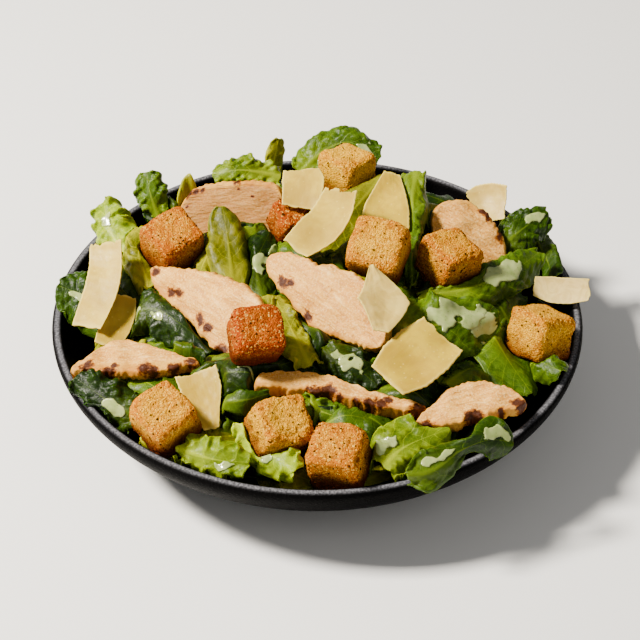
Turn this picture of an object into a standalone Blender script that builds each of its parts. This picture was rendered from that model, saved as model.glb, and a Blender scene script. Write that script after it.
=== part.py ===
"""A chicken caesar salad heaped in a shallow black bowl.

Metres, +Z up. The origin is the middle of the bowl's foot, on the table, and the salad's front
faces -Y. The bowl is turned from a profile. The salad is a heap of lettuce that fills it, with the
large leaves, chicken slices, croutons and cheese shavings that lie on top as pieces of their own.
The rigid toppings are placed first. Each leaf is then pressed down under whatever lies on it,
and last the heap is pressed down under all of them.
"""

import math
import random

import bmesh
import bpy
from mathutils import Euler, Vector, noise
from mathutils.bvhtree import BVHTree

MM = 0.001

# The bowl.
BOWL_RADIUS = 110 * MM
BOWL_HEIGHT = 40 * MM
FOOT_RADIUS = 58 * MM
WALL = 4.4 * MM
FLOOR = 4.6 * MM
BOWL_STEPS = 48
WALL_POINTS = 4
LIP_POINTS = 3
LIP_HEIGHT = 0.45 * WALL

# The heap of lettuce.
HEAP_RADIUS = 96 * MM
HEAP_EDGE_HEIGHT = 34 * MM
HEAP_TOP_HEIGHT = 64 * MM
HEAP_UNEVEN = 4 * MM
HEAP_RELIEF = 3.5 * MM
HEAP_SEGMENTS = 44
HEAP_RINGS = 16
HEAP_TOP_RINGS = 11
HEAP_FULLNESS = 3
HEAP_SLOPE = 0.8
HEAP_LUMPS_PER_METRE = 60
HEAP_HOLLOWS = ((194, 9), (-28, 7), (18, 6))  # direction in degrees and depth in mm, where the wall shows
HOLLOW_WIDTH = 0.28  # radians

# Clearances and thicknesses.
GAP = 0.6 * MM
PRESS_REACH = 2 * MM
RIM_MARGIN = 4 * MM
SETTLE_ROUNDS = 4
SAMPLE_STEP = 2 * MM
LEAF_THICKNESS = 1.2 * MM
SHAVING_THICKNESS = 1.2 * MM

# How the toppings are formed: how square and how rough a crouton is, how blunt a leaf's stem is,
# and how fast a leaf's ruffles grow towards its edge.
CROUTON_CUTS = 2
CROUTON_SQUARENESS = 7
CROUTON_STRETCH = (0.92, 1.06)
CROUTON_ROUGHNESS = 0.07
CROUTON_LUMPS = 1.3
CHICKEN_GRID = (7, 4)
SHAVING_GRID = (6, 3)
LEAF_GRID = (7, 4)
LEAF_ROUNDNESS = 0.8
LEAF_STEM_SHARE = 0.22
RUFFLE_GROWTH = 1.8

# Croutons: middle in mm, turn about X, Y and Z in degrees, edge in mm.
CROUTONS = {
    "crouton_back_left": ((-61, 25, 56), (12, -6, 40), 20.5),
    "crouton_back": ((13, 70, 60), (-8, 6, 42), 19.5),
    "crouton_middle": ((25, 3, 69), (28, 4, -18), 21.5),
    "crouton_right_middle": ((54, 7, 61), (10, 8, 36), 21),
    "crouton_left_middle": ((-24, -48, 67), (32, 5, 14), 20.5),
    "crouton_front_left": ((-59, -75, 47), (16, -14, 38), 20.5),
    "crouton_front": ((-14.5, -78, 45), (24, 12, 24), 20),
    "crouton_front_middle": ((8.2, -92.8, 43.2), (14, -4, -16), 21.8),
    "crouton_right": ((90, -23, 47), (-14, 22, 34), 20.5),
    "crouton_behind_shaving": ((-11, 37, 59), (20, 10, 30), 16),
}

# Chicken slices: both tips and a point that the upper edge leans towards, how far the upper edge stands
# over the line between the tips and the lower edge under it at even steps, then thickness and bend, all
# in mm.
CHICKEN = {
    "chicken_back_left": ((-60, 57, 49), (-15, 47, 56), (-36, 60, 63),
                          (3, 10, 12, 13, 13.5, 13.5, 13, 10), (1, 7, 11, 12, 12, 12, 10, 5), 7, 1.0),
    "chicken_left": ((-70, 10, 54), (-24, -39, 54), (-38, -6, 66),
                     (2, 6.5, 10.5, 14, 16, 17, 15, 10), (1, 5.5, 6.5, 7.5, 9.5, 11, 9.5, 3), 7, 1.0),
    "chicken_front_left": ((-98, -44, 47), (-47, -44, 50), (-72, -27, 49),
                           (1.5, 8, 15, 15.5, 12.5, 9, 5, 1.5), (1, 1.5, 3, 3.5, 4, 3.5, 2, 1), 6, 0.5),
    "chicken_middle": ((-21, 2, 66), (25, -42, 56), (13, -11, 72),
                       (4, 9, 11, 15, 17, 17.5, 16, 5), (2, 6, 7.5, 9.5, 10.5, 8, 5.5, 2), 8, 1.5),
    "chicken_front": ((-24, -58, 53), (42, -70, 49), (11, -56, 52),
                      (4, 7, 8.5, 8.5, 6, 4, 3, 2), (3.5, 1.5, 1.5, 0.5, 2, 3, 3, 1), 8, 0.5),
    "chicken_front_right": ((38, -76, 47), (81, -70, 52), (57, -59, 53),
                            (1, 5.5, 10.5, 13.5, 14, 12.5, 9, 2), (1, 3, 4, 3, 3, 2.5, 2, 1), 8, 0.5),
    "chicken_back_right": ((49, 41, 60), (80, 27, 46), (72, 42, 61),
                           (6, 10.5, 12.5, 13, 12, 10, 6.5, 2), (3, 7.5, 9.5, 10.5, 10.5, 9.5, 7.5, 3),
                           7, 1.5),
}

# Shavings: points along the middle in mm, facing, half widths at even steps in mm, bow across in radians.
SHAVINGS = {
    "shaving_back_left": (((-7, 52, 75), (-6, 43, 73), (-8, 33, 69)), (0, -0.4, 0.9),
                          (7.5, 9, 8.5, 7), 0.15),
    "shaving_long": (((10, 32, 79), (4, 14, 76), (-9, 0, 72)), (-0.3, -0.5, 0.8), (7, 9, 9, 6.5), 0.25),
    "shaving_back": (((32, 58, 69), (30, 42, 67), (28, 26, 64)), (0.1, -0.4, 0.9),
                     (3.5, 6.5, 9.5, 10.5), 0.2),
    "shaving_left": (((-88, 20, 61), (-88, 2, 54), (-94, -18, 46)), (-0.3, -0.6, 0.7),
                     (7, 7.5, 7.5, 6.5), 0.2),
    "shaving_left_under": (((-80, 2, 47), (-82, -10, 44), (-86, -24, 41)), (0.2, -0.5, 0.8),
                           (5, 6.5, 6.5, 5), 0.1),
    "shaving_middle": (((22, -16, 77), (26, -34, 73), (25, -47, 68)), (0.3, -0.3, 0.9), (1, 11, 3), 0.1),
    "shaving_front": (((50, -41, 62), (38, -54, 60), (27, -65, 58)), (-0.1, -0.5, 0.85),
                      (10.5, 12.5, 12, 8.5), 0.1),
    "shaving_right_rim": (((90, 8, 47), (101, 6, 46), (113, 3, 49)), (0.1, -0.75, 0.6),
                          (4, 5.5, 5.5, 4.5), 0.3),
    "shaving_back_rim": (((66, 65, 46), (73, 65, 48), (82, 61, 51)), (0, -0.7, 0.7),
                         (6, 8, 8.5, 7.5), 0.15),
    "shaving_front_left": (((-48, -51, 51), (-44, -63, 46), (-41, -75, 42)),
                           (0.1, -0.75, 0.6), (8.5, 8, 5, 3), 0.1),
}

# Leaves, the ones on top first: points from stem to tip in mm, facing, half width in mm, either at its
# widest or at even steps, curl across in degrees, ruffle height in mm and number of ruffles.
LEAVES = {
    "leaf_back_upright": (((42, 61, 68), (40, 39, 66), (39, 20, 62), (39, -4, 57)),
                          (0.1, -0.6, 0.8), (6, 9.5, 8.5, 5, 3.5, 3), 35, 2.0, 4),
    "leaf_back_smooth": (((29, 64, 63), (15, 41, 61), (2, 10, 58)), (0, -0.4, 0.9), 10, 25, 1, 2),
    "leaf_pointed": (((-35, 1, 52), (-37, 19, 60), (-40, 35, 68)), (0.2, -0.8, 0.6), 9, 30, 1, 2),
    "leaf_dark_centre": (((-23, -8, 52), (-25, 11, 57), (-20, 27, 61)), (0.1, -0.7, 0.7), 9, 40, 1, 3),
    "leaf_middle_rib": (((-3, -49, 52), (-10, -33, 57), (-17, -16, 60)),
                        (0.3, -0.6, 0.7), (6, 7, 5.5, 2.5), 30, 1.5, 3),
    "leaf_large": (((28, -30, 57), (49, -32, 59), (74, -19, 52)), (0.1, -0.5, 0.85), 16, 30, 2, 3),
    "leaf_back_arch": (((-8, 79, 54), (2, 86, 60), (14, 88, 64), (27, 83, 58)),
                       (0, -0.6, 0.8), 10, 40, 1.5, 4),
    "leaf_back_crinkled": (((-16, 76, 54), (-32, 74, 59), (-46, 75, 56)), (0, -0.6, 0.8), 8, 35, 2, 4),
    "leaf_spike": (((-20, 86, 46), (-19, 87, 56), (-17, 89, 65)), (0.1, -0.9, 0.3), 4.5, 30, 0.5, 2),
    "leaf_right_pool": (((41, -11, 56), (62, -6, 57), (81, 8, 55), (94, 26, 51)),
                        (0.1, -0.5, 0.85), (2.5, 5, 8.5, 9.5, 8, 5), 30, 1.5, 4),
    "leaf_right_curled": (((77, 34, 46), (87, 39, 53), (99, 50, 54)), (0, -0.6, 0.8), 10, 45, 2, 4),
    "leaf_dark_curled": (((2, -42, 54), (13, -48, 53), (24, -55, 47)), (0.2, -0.6, 0.8), 9, 45, 1.5, 3),
    "leaf_right_pleats": (((68, -19, 50), (75, -35, 46), (85, -52, 40)),
                          (0.5, -0.4, 0.8), 12, 30, 2, 5),
    "leaf_left_curls": (((-82, -12, 46), (-68, -12, 51), (-56, -21, 51), (-42, -32, 46)),
                        (0, -0.5, 0.85), 11, 45, 2, 4),
    "leaf_left_knob": (((-68, 54, 46), (-72, 59, 56), (-74, 67, 63)),
                       (-0.1, -0.7, 0.6), (5, 7, 8, 6.5), 50, 1.5, 3),
    "leaf_left_fold": (((-70, 8, 46), (-75, 22, 52), (-75, 39, 55)), (0.1, -0.6, 0.8), 7, 40, 1.5, 3),
    "leaf_left_frill": (((-83, 33, 44), (-90, 46, 50), (-92, 56, 56)), (-0.4, -0.7, 0.6), 10, 35, 2.5, 5),
    "leaf_dark_front": (((-50, -50, 47), (-31, -56, 55), (-10, -57, 53)), (0, -0.5, 0.85), 9, 35, 1, 3),
    "leaf_left": (((-80, -10, 41), (-95, 1, 46), (-108, 7, 48)), (-0.1, -0.5, 0.85), 13, 35, 1.5, 3),
    "leaf_over_rim": (((34, -106, 46), (44, -103, 47), (54, -96, 50), (65, -91, 51), (75, -89, 48)),
                      (0.2, -0.8, 0.6), (4, 8.5, 6.5, 3.5, 9, 6.5), 35, 1.5, 4),
    "leaf_front_ruffled": (((25, -97, 43), (34, -88, 45), (51, -80, 47)),
                           (-0.1, -0.7, 0.7), 12, 35, 2.5, 5),
    "leaf_right_curl": (((79, -25, 44), (88, -37, 45), (97, -45, 46)), (0.1, -0.6, 0.8), 8, 50, 1.5, 3),
    "leaf_front_frill": (((-30, -73, 45), (-21, -88, 44), (-8, -100, 44)),
                         (-0.3, -0.6, 0.8), 9, 35, 2.5, 6),
    "leaf_front_left_frill": (((-53, -87, 43), (-40, -93, 43), (-26, -96, 44)),
                              (-0.1, -0.7, 0.7), 9, 35, 2, 5),
    "leaf_front_left": (((-70, -67, 40), (-83, -59, 43), (-96, -50, 47)),
                        (-0.3, -0.6, 0.8), 10, 40, 2, 4),
}

CROUTON_TAN = (0.62, 0.33, 0.10)
CHICKEN_PINK = (0.72, 0.47, 0.33)
SHAVING_CREAM = (0.82, 0.68, 0.40)
LEAF_GREEN = (0.17, 0.34, 0.04)
HEAP_GREEN = (0.08, 0.18, 0.02)
BOWL_BLACK = (0.012, 0.012, 0.013)


def material(name, colour, roughness):
    """One plain finish of a given colour and roughness."""
    made = bpy.data.materials.new(name)
    made.use_nodes = True
    shader = made.node_tree.nodes["Principled BSDF"]
    shader.inputs["Base Color"].default_value = (*colour, 1)
    shader.inputs["Roughness"].default_value = roughness
    return made


def bezier(t, points):
    """A point on the cubic curve through four control points."""
    a, b, c, d = (Vector(point) for point in points)
    return (1 - t) ** 3 * a + 3 * (1 - t) ** 2 * t * b + 3 * (1 - t) * t * t * c + t ** 3 * d


def outer_wall(t):
    """Radius and height down the outside of the bowl, from the rim at 0 to the foot at 1."""
    return bezier(t, (
        (BOWL_RADIUS, BOWL_HEIGHT - LIP_HEIGHT),
        (BOWL_RADIUS, 0.72 * BOWL_HEIGHT),
        (0.8 * BOWL_RADIUS, 0.15 * BOWL_HEIGHT),
        (FOOT_RADIUS, 0),
    ))


def inner_wall(t):
    """Radius and height up the inside of the bowl, from the floor's edge at 0 to the rim at 1."""
    return bezier(t, (
        (FOOT_RADIUS, FLOOR),
        (0.76 * BOWL_RADIUS, FLOOR + 0.1 * BOWL_HEIGHT),
        (BOWL_RADIUS - 1.1 * WALL, 0.72 * BOWL_HEIGHT),
        (BOWL_RADIUS - WALL, BOWL_HEIGHT - LIP_HEIGHT),
    ))


def bowl_surface(radius):
    """How high the bowl stands at this radius, its rim taken a little wide."""
    if radius >= BOWL_RADIUS + RIM_MARGIN:
        return 0
    if radius >= BOWL_RADIUS - WALL:
        return BOWL_HEIGHT
    low, high = 0.0, 1.0
    for _ in range(20):
        middle = (low + high) / 2
        if inner_wall(middle)[0] < radius:
            low = middle
        else:
            high = middle
    return max(FLOOR, inner_wall(high)[1])


def link(name, mesh, collection, finish):
    """A new object that holds this mesh, in this finish."""
    piece = bpy.data.objects.new(name, mesh)
    mesh.materials.append(finish)
    mesh.shade_smooth()
    collection.objects.link(piece)
    return piece


def make_bowl(collection):
    """The bowl: one profile, up the inside, over the rounded lip and down the outside, turned round."""
    profile = [Vector((0, FLOOR))]
    profile += [inner_wall(i / WALL_POINTS) for i in range(WALL_POINTS + 1)]
    for i in range(LIP_POINTS):
        turn = math.pi * (i + 1) / (LIP_POINTS + 1)
        across = BOWL_RADIUS - WALL / 2 - WALL / 2 * math.cos(turn)
        profile.append(Vector((across, BOWL_HEIGHT - LIP_HEIGHT + LIP_HEIGHT * math.sin(turn))))
    profile += [outer_wall(i / WALL_POINTS) for i in range(WALL_POINTS + 1)]
    profile.append(Vector((0, 0)))
    shape = bmesh.new()
    points = [shape.verts.new((radius, 0, height)) for radius, height in profile]
    for first, second in zip(points, points[1:]):
        shape.edges.new((first, second))
    mesh = bpy.data.meshes.new("bowl")
    shape.to_mesh(mesh)
    shape.free()
    bowl = link("bowl", mesh, collection, material("bowl black", BOWL_BLACK, 0.5))
    turned = bowl.modifiers.new("turned", "SCREW")
    turned.steps = BOWL_STEPS
    turned.render_steps = BOWL_STEPS
    turned.use_merge_vertices = True
    turned.merge_threshold = 0.00001
    turned.use_smooth_shade = True
    return bowl


def along(points, share):
    """A point this far along the smooth curve through all the points."""
    place = min(share, 0.9999) * (len(points) - 1)
    i = int(place)
    t = place - i
    second, third = Vector(points[i]), Vector(points[i + 1])
    first = Vector(points[i - 1]) if i else 2 * second - third
    fourth = Vector(points[i + 2]) if i + 2 < len(points) else 2 * third - second
    return 0.5 * (2 * second + (third - first) * t
                  + (2 * first - 5 * second + 4 * third - fourth) * t * t
                  + (3 * second - 3 * third + fourth - first) * t ** 3)


def strip_point(points, facing, half_width, curl, share, side):
    """A point on a strip that follows a curve: share runs along it and side across it, -1 to 1."""
    middle = along(points, share)
    ahead = (along(points, min(share + 0.01, 1)) - along(points, max(share - 0.01, 0))).normalized()
    across = Vector(facing).cross(ahead).normalized()
    upward = ahead.cross(across)
    angle = max(abs(curl), 0.01)
    radius = half_width / angle
    return (middle + across * radius * math.sin(side * angle)
            + upward * math.copysign(radius * (1 - math.cos(side * angle)), curl), upward)


def between(values, share):
    """A value this far through values that stand at even steps, in a straight line between them."""
    place = min(share, 0.9999) * (len(values) - 1)
    i = int(place)
    return values[i] + (place - i) * (values[i + 1] - values[i])


def leaf_half_width(half_width, share):
    """How wide a leaf is here: its own widths, or a broad stem end that runs out to a round tip."""
    if isinstance(half_width, tuple):
        return between(half_width, share)
    turn = math.pi * (LEAF_STEM_SHARE + (0.96 - LEAF_STEM_SHARE) * share)
    return half_width * math.sin(turn) ** LEAF_ROUNDNESS


def grid_mesh(name, segments, place):
    """A grid whose points are put in place by a function of the two shares along and across."""
    shape = bmesh.new()
    bmesh.ops.create_grid(shape, x_segments=segments[0], y_segments=segments[1], size=1)
    for point in shape.verts:
        point.co = place((point.co.x + 1) / 2, point.co.y)
    mesh = bpy.data.meshes.new(name)
    shape.to_mesh(mesh)
    shape.free()
    return mesh


def thicken(piece, thickness, offset):
    """Gives an open surface its thickness."""
    solid = piece.modifiers.new("thickness", "SOLIDIFY")
    solid.thickness = thickness
    solid.offset = offset


class Placed:
    """The pieces that already lie in place, as one surface that rays can find from below."""

    def __init__(self):
        self.points = []
        self.faces = []
        self.tree = None

    def add(self, piece):
        """Adds a finished piece."""
        bpy.context.view_layer.update()
        evaluated = piece.evaluated_get(bpy.context.evaluated_depsgraph_get())
        mesh = evaluated.to_mesh()
        start = len(self.points)
        self.points += [evaluated.matrix_world @ point.co for point in mesh.vertices]
        self.faces += [[start + i for i in face.vertices] for face in mesh.polygons]
        evaluated.to_mesh_clear()
        self.tree = None

    def underside(self, x, y, reach):
        """The lowest height that any placed piece has within reach of this place, or None."""
        if self.tree is None:
            self.tree = BVHTree.FromPolygons(self.points, self.faces)
        lowest = None
        for ring in (0, 0.5, 1):
            for i in range(8 if ring else 1):
                turn = math.tau * i / 8
                start = Vector((x + ring * reach * math.cos(turn), y + ring * reach * math.sin(turn), -1))
                hit = self.tree.ray_cast(start, Vector((0, 0, 1)))[0]
                if hit and (lowest is None or hit.z < lowest):
                    lowest = hit.z
        return lowest


def floor_below(point):
    """The lowest that a leaf's upper side may be here, clear of the bowl."""
    radius = math.hypot(point.x, point.y)
    return bowl_surface(radius + LEAF_THICKNESS) + LEAF_THICKNESS + 2 * GAP


def pressed(point, placed):
    """The point, pushed down until it is clear of whatever lies on it, and kept off the bowl."""
    lowest = placed.underside(point.x, point.y, PRESS_REACH)
    height = point.z if lowest is None else min(point.z, lowest - GAP)
    return Vector((point.x, point.y, max(height, floor_below(point))))


def samples(face):
    """Points spread over a face, about a sample step apart."""
    middle = face.calc_center_median()
    corners = [point.co for point in face.verts]
    for first, second in zip(corners, corners[1:] + corners[:1]):
        steps = 1 + int((second - first).length / SAMPLE_STEP)
        for i in range(steps):
            for j in range(steps):
                yield middle.lerp(first.lerp(second, i / steps), (j + 1) / steps)


def settle(mesh, placed, is_upper):
    """Lowers the corners of every upper face that still touches what lies on it."""
    shape = bmesh.new()
    shape.from_mesh(mesh)
    bmesh.ops.triangulate(shape, faces=shape.faces)
    for _ in range(SETTLE_ROUNDS):
        for face in filter(is_upper, shape.faces):
            excess = 0
            for point in samples(face):
                lowest = placed.underside(point.x, point.y, GAP)
                if lowest is not None:
                    excess = max(excess, point.z - lowest + GAP)
            for corner in face.verts if excess else ():
                corner.co.z = max(corner.co.z - excess, min(corner.co.z, floor_below(corner.co)))
    shape.to_mesh(mesh)
    shape.free()


def make_crouton(name, place, turn, edge, seed, collection, finish):
    """A toasted cube of bread with rounded, uneven corners and faces."""
    shape = bmesh.new()
    bmesh.ops.create_cube(shape, size=2)
    bmesh.ops.subdivide_edges(shape, edges=shape.edges[:], cuts=CROUTON_CUTS, use_grid_fill=True)
    rng = random.Random(seed)
    stretch = Vector([rng.uniform(*CROUTON_STRETCH) for _ in range(3)])
    offset = Vector([rng.uniform(0, 50) for _ in range(3)])
    for point in shape.verts:
        spread = sum(abs(value) ** CROUTON_SQUARENESS for value in point.co) ** (1 / CROUTON_SQUARENESS)
        rough = 1 + CROUTON_ROUGHNESS * noise.noise(point.co * CROUTON_LUMPS + offset)
        point.co = Vector([a * b for a, b in zip(point.co, stretch)]) / spread * rough * edge / 2
    mesh = bpy.data.meshes.new(name)
    shape.to_mesh(mesh)
    shape.free()
    crouton = link(name, mesh, collection, finish)
    crouton.location = place
    crouton.rotation_euler = Euler([math.radians(angle) for angle in turn])
    return crouton


def chicken_point(first, second, edge, uppers, lowers, bend, share, side):
    """A point on the cut face of a chicken slice, which its upper and lower edge bound."""
    middle = first.lerp(second, share)
    to_edge = edge - first.lerp(second, 0.5)
    along_slice = (second - first).normalized()
    across = (to_edge - to_edge.dot(along_slice) * along_slice).normalized()
    face = along_slice.cross(across)
    upper, lower = between(uppers, share) * MM, between(lowers, share) * MM
    height = (upper - lower) / 2 + side * (upper + lower) / 2
    return middle + across * height + face * bend * math.sin(math.pi * share) * (1 - side * side)


def make_chicken(name, first, second, edge, uppers, lowers, thickness, bend, collection, finish):
    """A slice of chicken breast, its cut face up."""
    ends = [Vector(point) * MM for point in (first, second, edge)]
    mesh = grid_mesh(name, CHICKEN_GRID, lambda share, side: chicken_point(
        *ends, uppers, lowers, bend * MM, share, side))
    slice_ = link(name, mesh, collection, finish)
    thicken(slice_, thickness * MM, -1)
    return slice_


def make_shaving(name, points, facing, half_widths, bow, collection, finish):
    """A thin shaving of hard cheese."""
    points = [Vector(point) * MM for point in points]

    def place(share, side):
        return strip_point(points, facing, between(half_widths, share) * MM, bow, share, side)[0]

    mesh = grid_mesh(name, SHAVING_GRID, place)
    shaving = link(name, mesh, collection, finish)
    thicken(shaving, SHAVING_THICKNESS, -1)
    return shaving


def make_leaf(name, shape, seed, placed, collection, finish):
    """A piece of lettuce leaf, curled across, ruffled at its edges and pressed under what lies on it."""
    points, facing, half_width, curl, ruffle, ruffles = shape
    points = [Vector(point) * MM for point in points]

    def place(share, side):
        width = leaf_half_width(half_width, share) * MM
        point, upward = strip_point(points, facing, width, math.radians(-curl), share, side)
        wave = math.sin(math.tau * ruffles * share + seed + 2 * side)
        point += upward * ruffle * MM * abs(side) ** RUFFLE_GROWTH * wave
        return pressed(point, placed)

    mesh = grid_mesh(name, LEAF_GRID, place)
    settle(mesh, placed, lambda face: True)
    leaf = link(name, mesh, collection, finish)
    thicken(leaf, LEAF_THICKNESS, -1)
    return leaf


def heap_radius(turn):
    """How far out the heap reaches in this direction."""
    radius = HEAP_RADIUS + HEAP_UNEVEN * noise.noise((2 * math.cos(turn), 2 * math.sin(turn), 7))
    for direction, depth in HEAP_HOLLOWS:
        apart = math.remainder(turn - math.radians(direction), math.tau)
        radius -= depth * MM * math.exp(-(apart / HOLLOW_WIDTH) ** 2)
    return radius


def make_heap(placed, collection, finish):
    """The heap: a mound with leafy relief on top, and the inside of the bowl below."""
    shape = bmesh.new()
    bmesh.ops.create_uvsphere(shape, u_segments=HEAP_SEGMENTS, v_segments=HEAP_RINGS, radius=1)
    for point in shape.verts:
        turn = math.atan2(point.co.y, point.co.x)
        ring = round(math.acos(max(-1, min(1, point.co.z))) / math.pi * HEAP_RINGS)
        on_top = ring <= HEAP_TOP_RINGS
        share = ring / HEAP_TOP_RINGS if on_top else (HEAP_RINGS - ring) / (HEAP_RINGS - HEAP_TOP_RINGS)
        radius = heap_radius(turn) * share
        x, y = radius * math.cos(turn), radius * math.sin(turn)
        floor = bowl_surface(radius) + 2 * GAP
        if not on_top:
            point.co = (x, y, floor)
            continue
        rise = HEAP_TOP_HEIGHT - HEAP_EDGE_HEIGHT
        height = HEAP_EDGE_HEIGHT + rise * (1 - share ** HEAP_FULLNESS) ** HEAP_SLOPE
        height += HEAP_RELIEF * noise.noise((HEAP_LUMPS_PER_METRE * x, HEAP_LUMPS_PER_METRE * y, 3))
        point.co = (x, y, max(pressed(Vector((x, y, height)), placed).z, floor + 3 * GAP))
    mesh = bpy.data.meshes.new("lettuce_heap")
    shape.to_mesh(mesh)
    shape.free()
    settle(mesh, placed, lambda face: face.normal.z > 0)
    return link("lettuce_heap", mesh, collection, finish)


def main():
    """Builds the bowl, the toppings, the leaves under them and the heap under all."""
    for old in list(bpy.data.objects):
        bpy.data.objects.remove(old, do_unlink=True)
    collection = bpy.data.collections.new("chicken_caesar_salad")
    bpy.context.scene.collection.children.link(collection)
    make_bowl(collection)
    placed = Placed()
    for seed, (name, (place, turn, edge)) in enumerate(CROUTONS.items()):
        finish = material(name, CROUTON_TAN, 0.8)
        place = Vector(place) * MM
        placed.add(make_crouton(name, place, turn, edge * MM, seed, collection, finish))
    for name, shape in CHICKEN.items():
        placed.add(make_chicken(name, *shape, collection, material(name, CHICKEN_PINK, 0.5)))
    for name, shape in SHAVINGS.items():
        finish = material(name, SHAVING_CREAM, 0.45)
        placed.add(make_shaving(name, *shape, collection, finish))
    for seed, (name, shape) in enumerate(LEAVES.items()):
        finish = material(name, LEAF_GREEN, 0.35)
        placed.add(make_leaf(name, shape, seed, placed, collection, finish))
    make_heap(placed, collection, material("lettuce heap", HEAP_GREEN, 0.5))


main()
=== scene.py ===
"""Chicken caesar salad, heaped in a shallow matt black bowl.

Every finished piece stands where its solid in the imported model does, and replaces it. Croutons,
chicken slices and cheese shavings are laid first. The leaves are then pressed down under whatever
lies on them, and a bed of torn leaves fills the bowl below. Sizes are in metres unless a name says mm.
"""

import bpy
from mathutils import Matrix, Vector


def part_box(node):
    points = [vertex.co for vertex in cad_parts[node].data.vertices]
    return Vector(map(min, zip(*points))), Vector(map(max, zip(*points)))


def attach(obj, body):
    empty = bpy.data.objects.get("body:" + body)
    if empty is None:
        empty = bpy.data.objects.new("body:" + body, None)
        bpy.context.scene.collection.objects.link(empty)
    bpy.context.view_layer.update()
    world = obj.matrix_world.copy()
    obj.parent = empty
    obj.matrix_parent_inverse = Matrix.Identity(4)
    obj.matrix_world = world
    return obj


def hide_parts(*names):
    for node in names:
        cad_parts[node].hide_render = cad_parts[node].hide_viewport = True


bl_info = {
    "name": "Chicken Caesar Salad",
    "version": (1, 0, 0),
    "blender": (4, 5, 0),
    "location": "3D View > Sidebar > Salad",
    "description": "Makes a bowl of chicken caesar salad around its packed model",
    "category": "Object",
}

import math
import random

import bmesh
import bpy
import numpy as np
from bpy.props import FloatProperty, FloatVectorProperty, IntProperty, PointerProperty
from mathutils import Euler, Vector, noise
from mathutils.bvhtree import BVHTree

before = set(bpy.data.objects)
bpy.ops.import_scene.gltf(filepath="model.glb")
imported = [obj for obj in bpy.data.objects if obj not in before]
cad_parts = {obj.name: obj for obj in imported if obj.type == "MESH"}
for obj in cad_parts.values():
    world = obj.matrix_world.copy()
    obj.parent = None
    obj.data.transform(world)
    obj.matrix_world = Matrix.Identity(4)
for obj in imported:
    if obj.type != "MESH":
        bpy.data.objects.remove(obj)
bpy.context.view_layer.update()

MM = 0.001
BOWL_LOW, BOWL_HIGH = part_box("bowl")
BOWL_RADIUS = (BOWL_HIGH.x - BOWL_LOW.x) / 2
BOWL_HEIGHT = BOWL_HIGH.z
FOOT_RADIUS = 58 * MM
WALL = 4.4 * MM
FLOOR = 4.6 * MM
LIP_HEIGHT = 0.45 * WALL
BED_RADIUS = 93 * MM
HEAP_EDGE = 34 * MM  # the heap's height at its edge

# How far apart a leaf's main veins, the veins between them, its folds and its puckers are.
VEIN_SPACING = 6.5 * MM
NET_SPACING = 4.2 * MM
FOLD_SPACING = 11 * MM
PUCKER = 3.6 * MM

# How large a crouton's crags, its pores and its grains of crumb are.
CRAG = 4.5 * MM
PORE = 3.4 * MM
CRUMB = 1.0 * MM

# How many points along and across a slice, a shaving and a leaf of the bed has.
CHICKEN_GRID = 112, 56
SHAVING_GRID = 90, 34
BED_GRID = 34, 21

WALL_STEPS = 24  # of the bowl's profile, up each side
LIP_STEPS = 12  # round its lip
LOOKS = 6  # places round a point of a leaf where what lies on it is looked for
EASINGS = 5  # how often the dent under a topping is widened by one point
ABOVE_BOWL = 1.4 * MM  # how far a leaf stays over the bowl
MOST_RAISED = 6 * MM  # how far the bowl lifts a leaf at most
POOL_MARGIN = 1.35  # how far the grid of a pool reaches, in half lengths
CAMERA_TARGET = Vector((1.1, -5.9, 40)) * MM

# Croutons: middle in mm, turn about X, Y and Z in degrees, edge in mm, toast, redness and craggy relief.
CROUTONS = {
    "crouton_back_left": ((-61, 25, 56), (12, -6, 40), 20.5, 0.6, 0.55, 0.45),
    "crouton_back": ((13, 70, 60), (-8, 6, 42), 19.5, 0.12, 0.05, 0.35),
    "crouton_middle": ((25, 3, 69), (28, 4, -18), 21.5, 0.35, 0.2, 0.35),
    "crouton_right_middle": ((54, 7, 61), (10, 8, 36), 21, 0.5, 0.35, 0.5),
    "crouton_left_middle": ((-24, -48, 67), (32, 5, 14), 20.5, 0.75, 1.0, 0.15),
    "crouton_front_left": ((-59, -75, 47), (16, -14, 38), 20.5, 0.35, 0.3, 0.4),
    "crouton_front": ((-14.5, -78, 45), (24, 12, 24), 20, 0.2, 0.2, 1.0),
    "crouton_front_middle": ((8.2, -92.8, 43.2), (14, -4, -16), 21.8, 0.8, 0.35, 0.4),
    "crouton_right": ((90, -23, 47), (-14, 22, 34), 20.5, 0.25, 0.2, 0.4),
    "crouton_behind_shaving": ((-11, 37, 59), (20, 10, 30), 16, 0.8, 0.9, 0.5),
}

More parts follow.
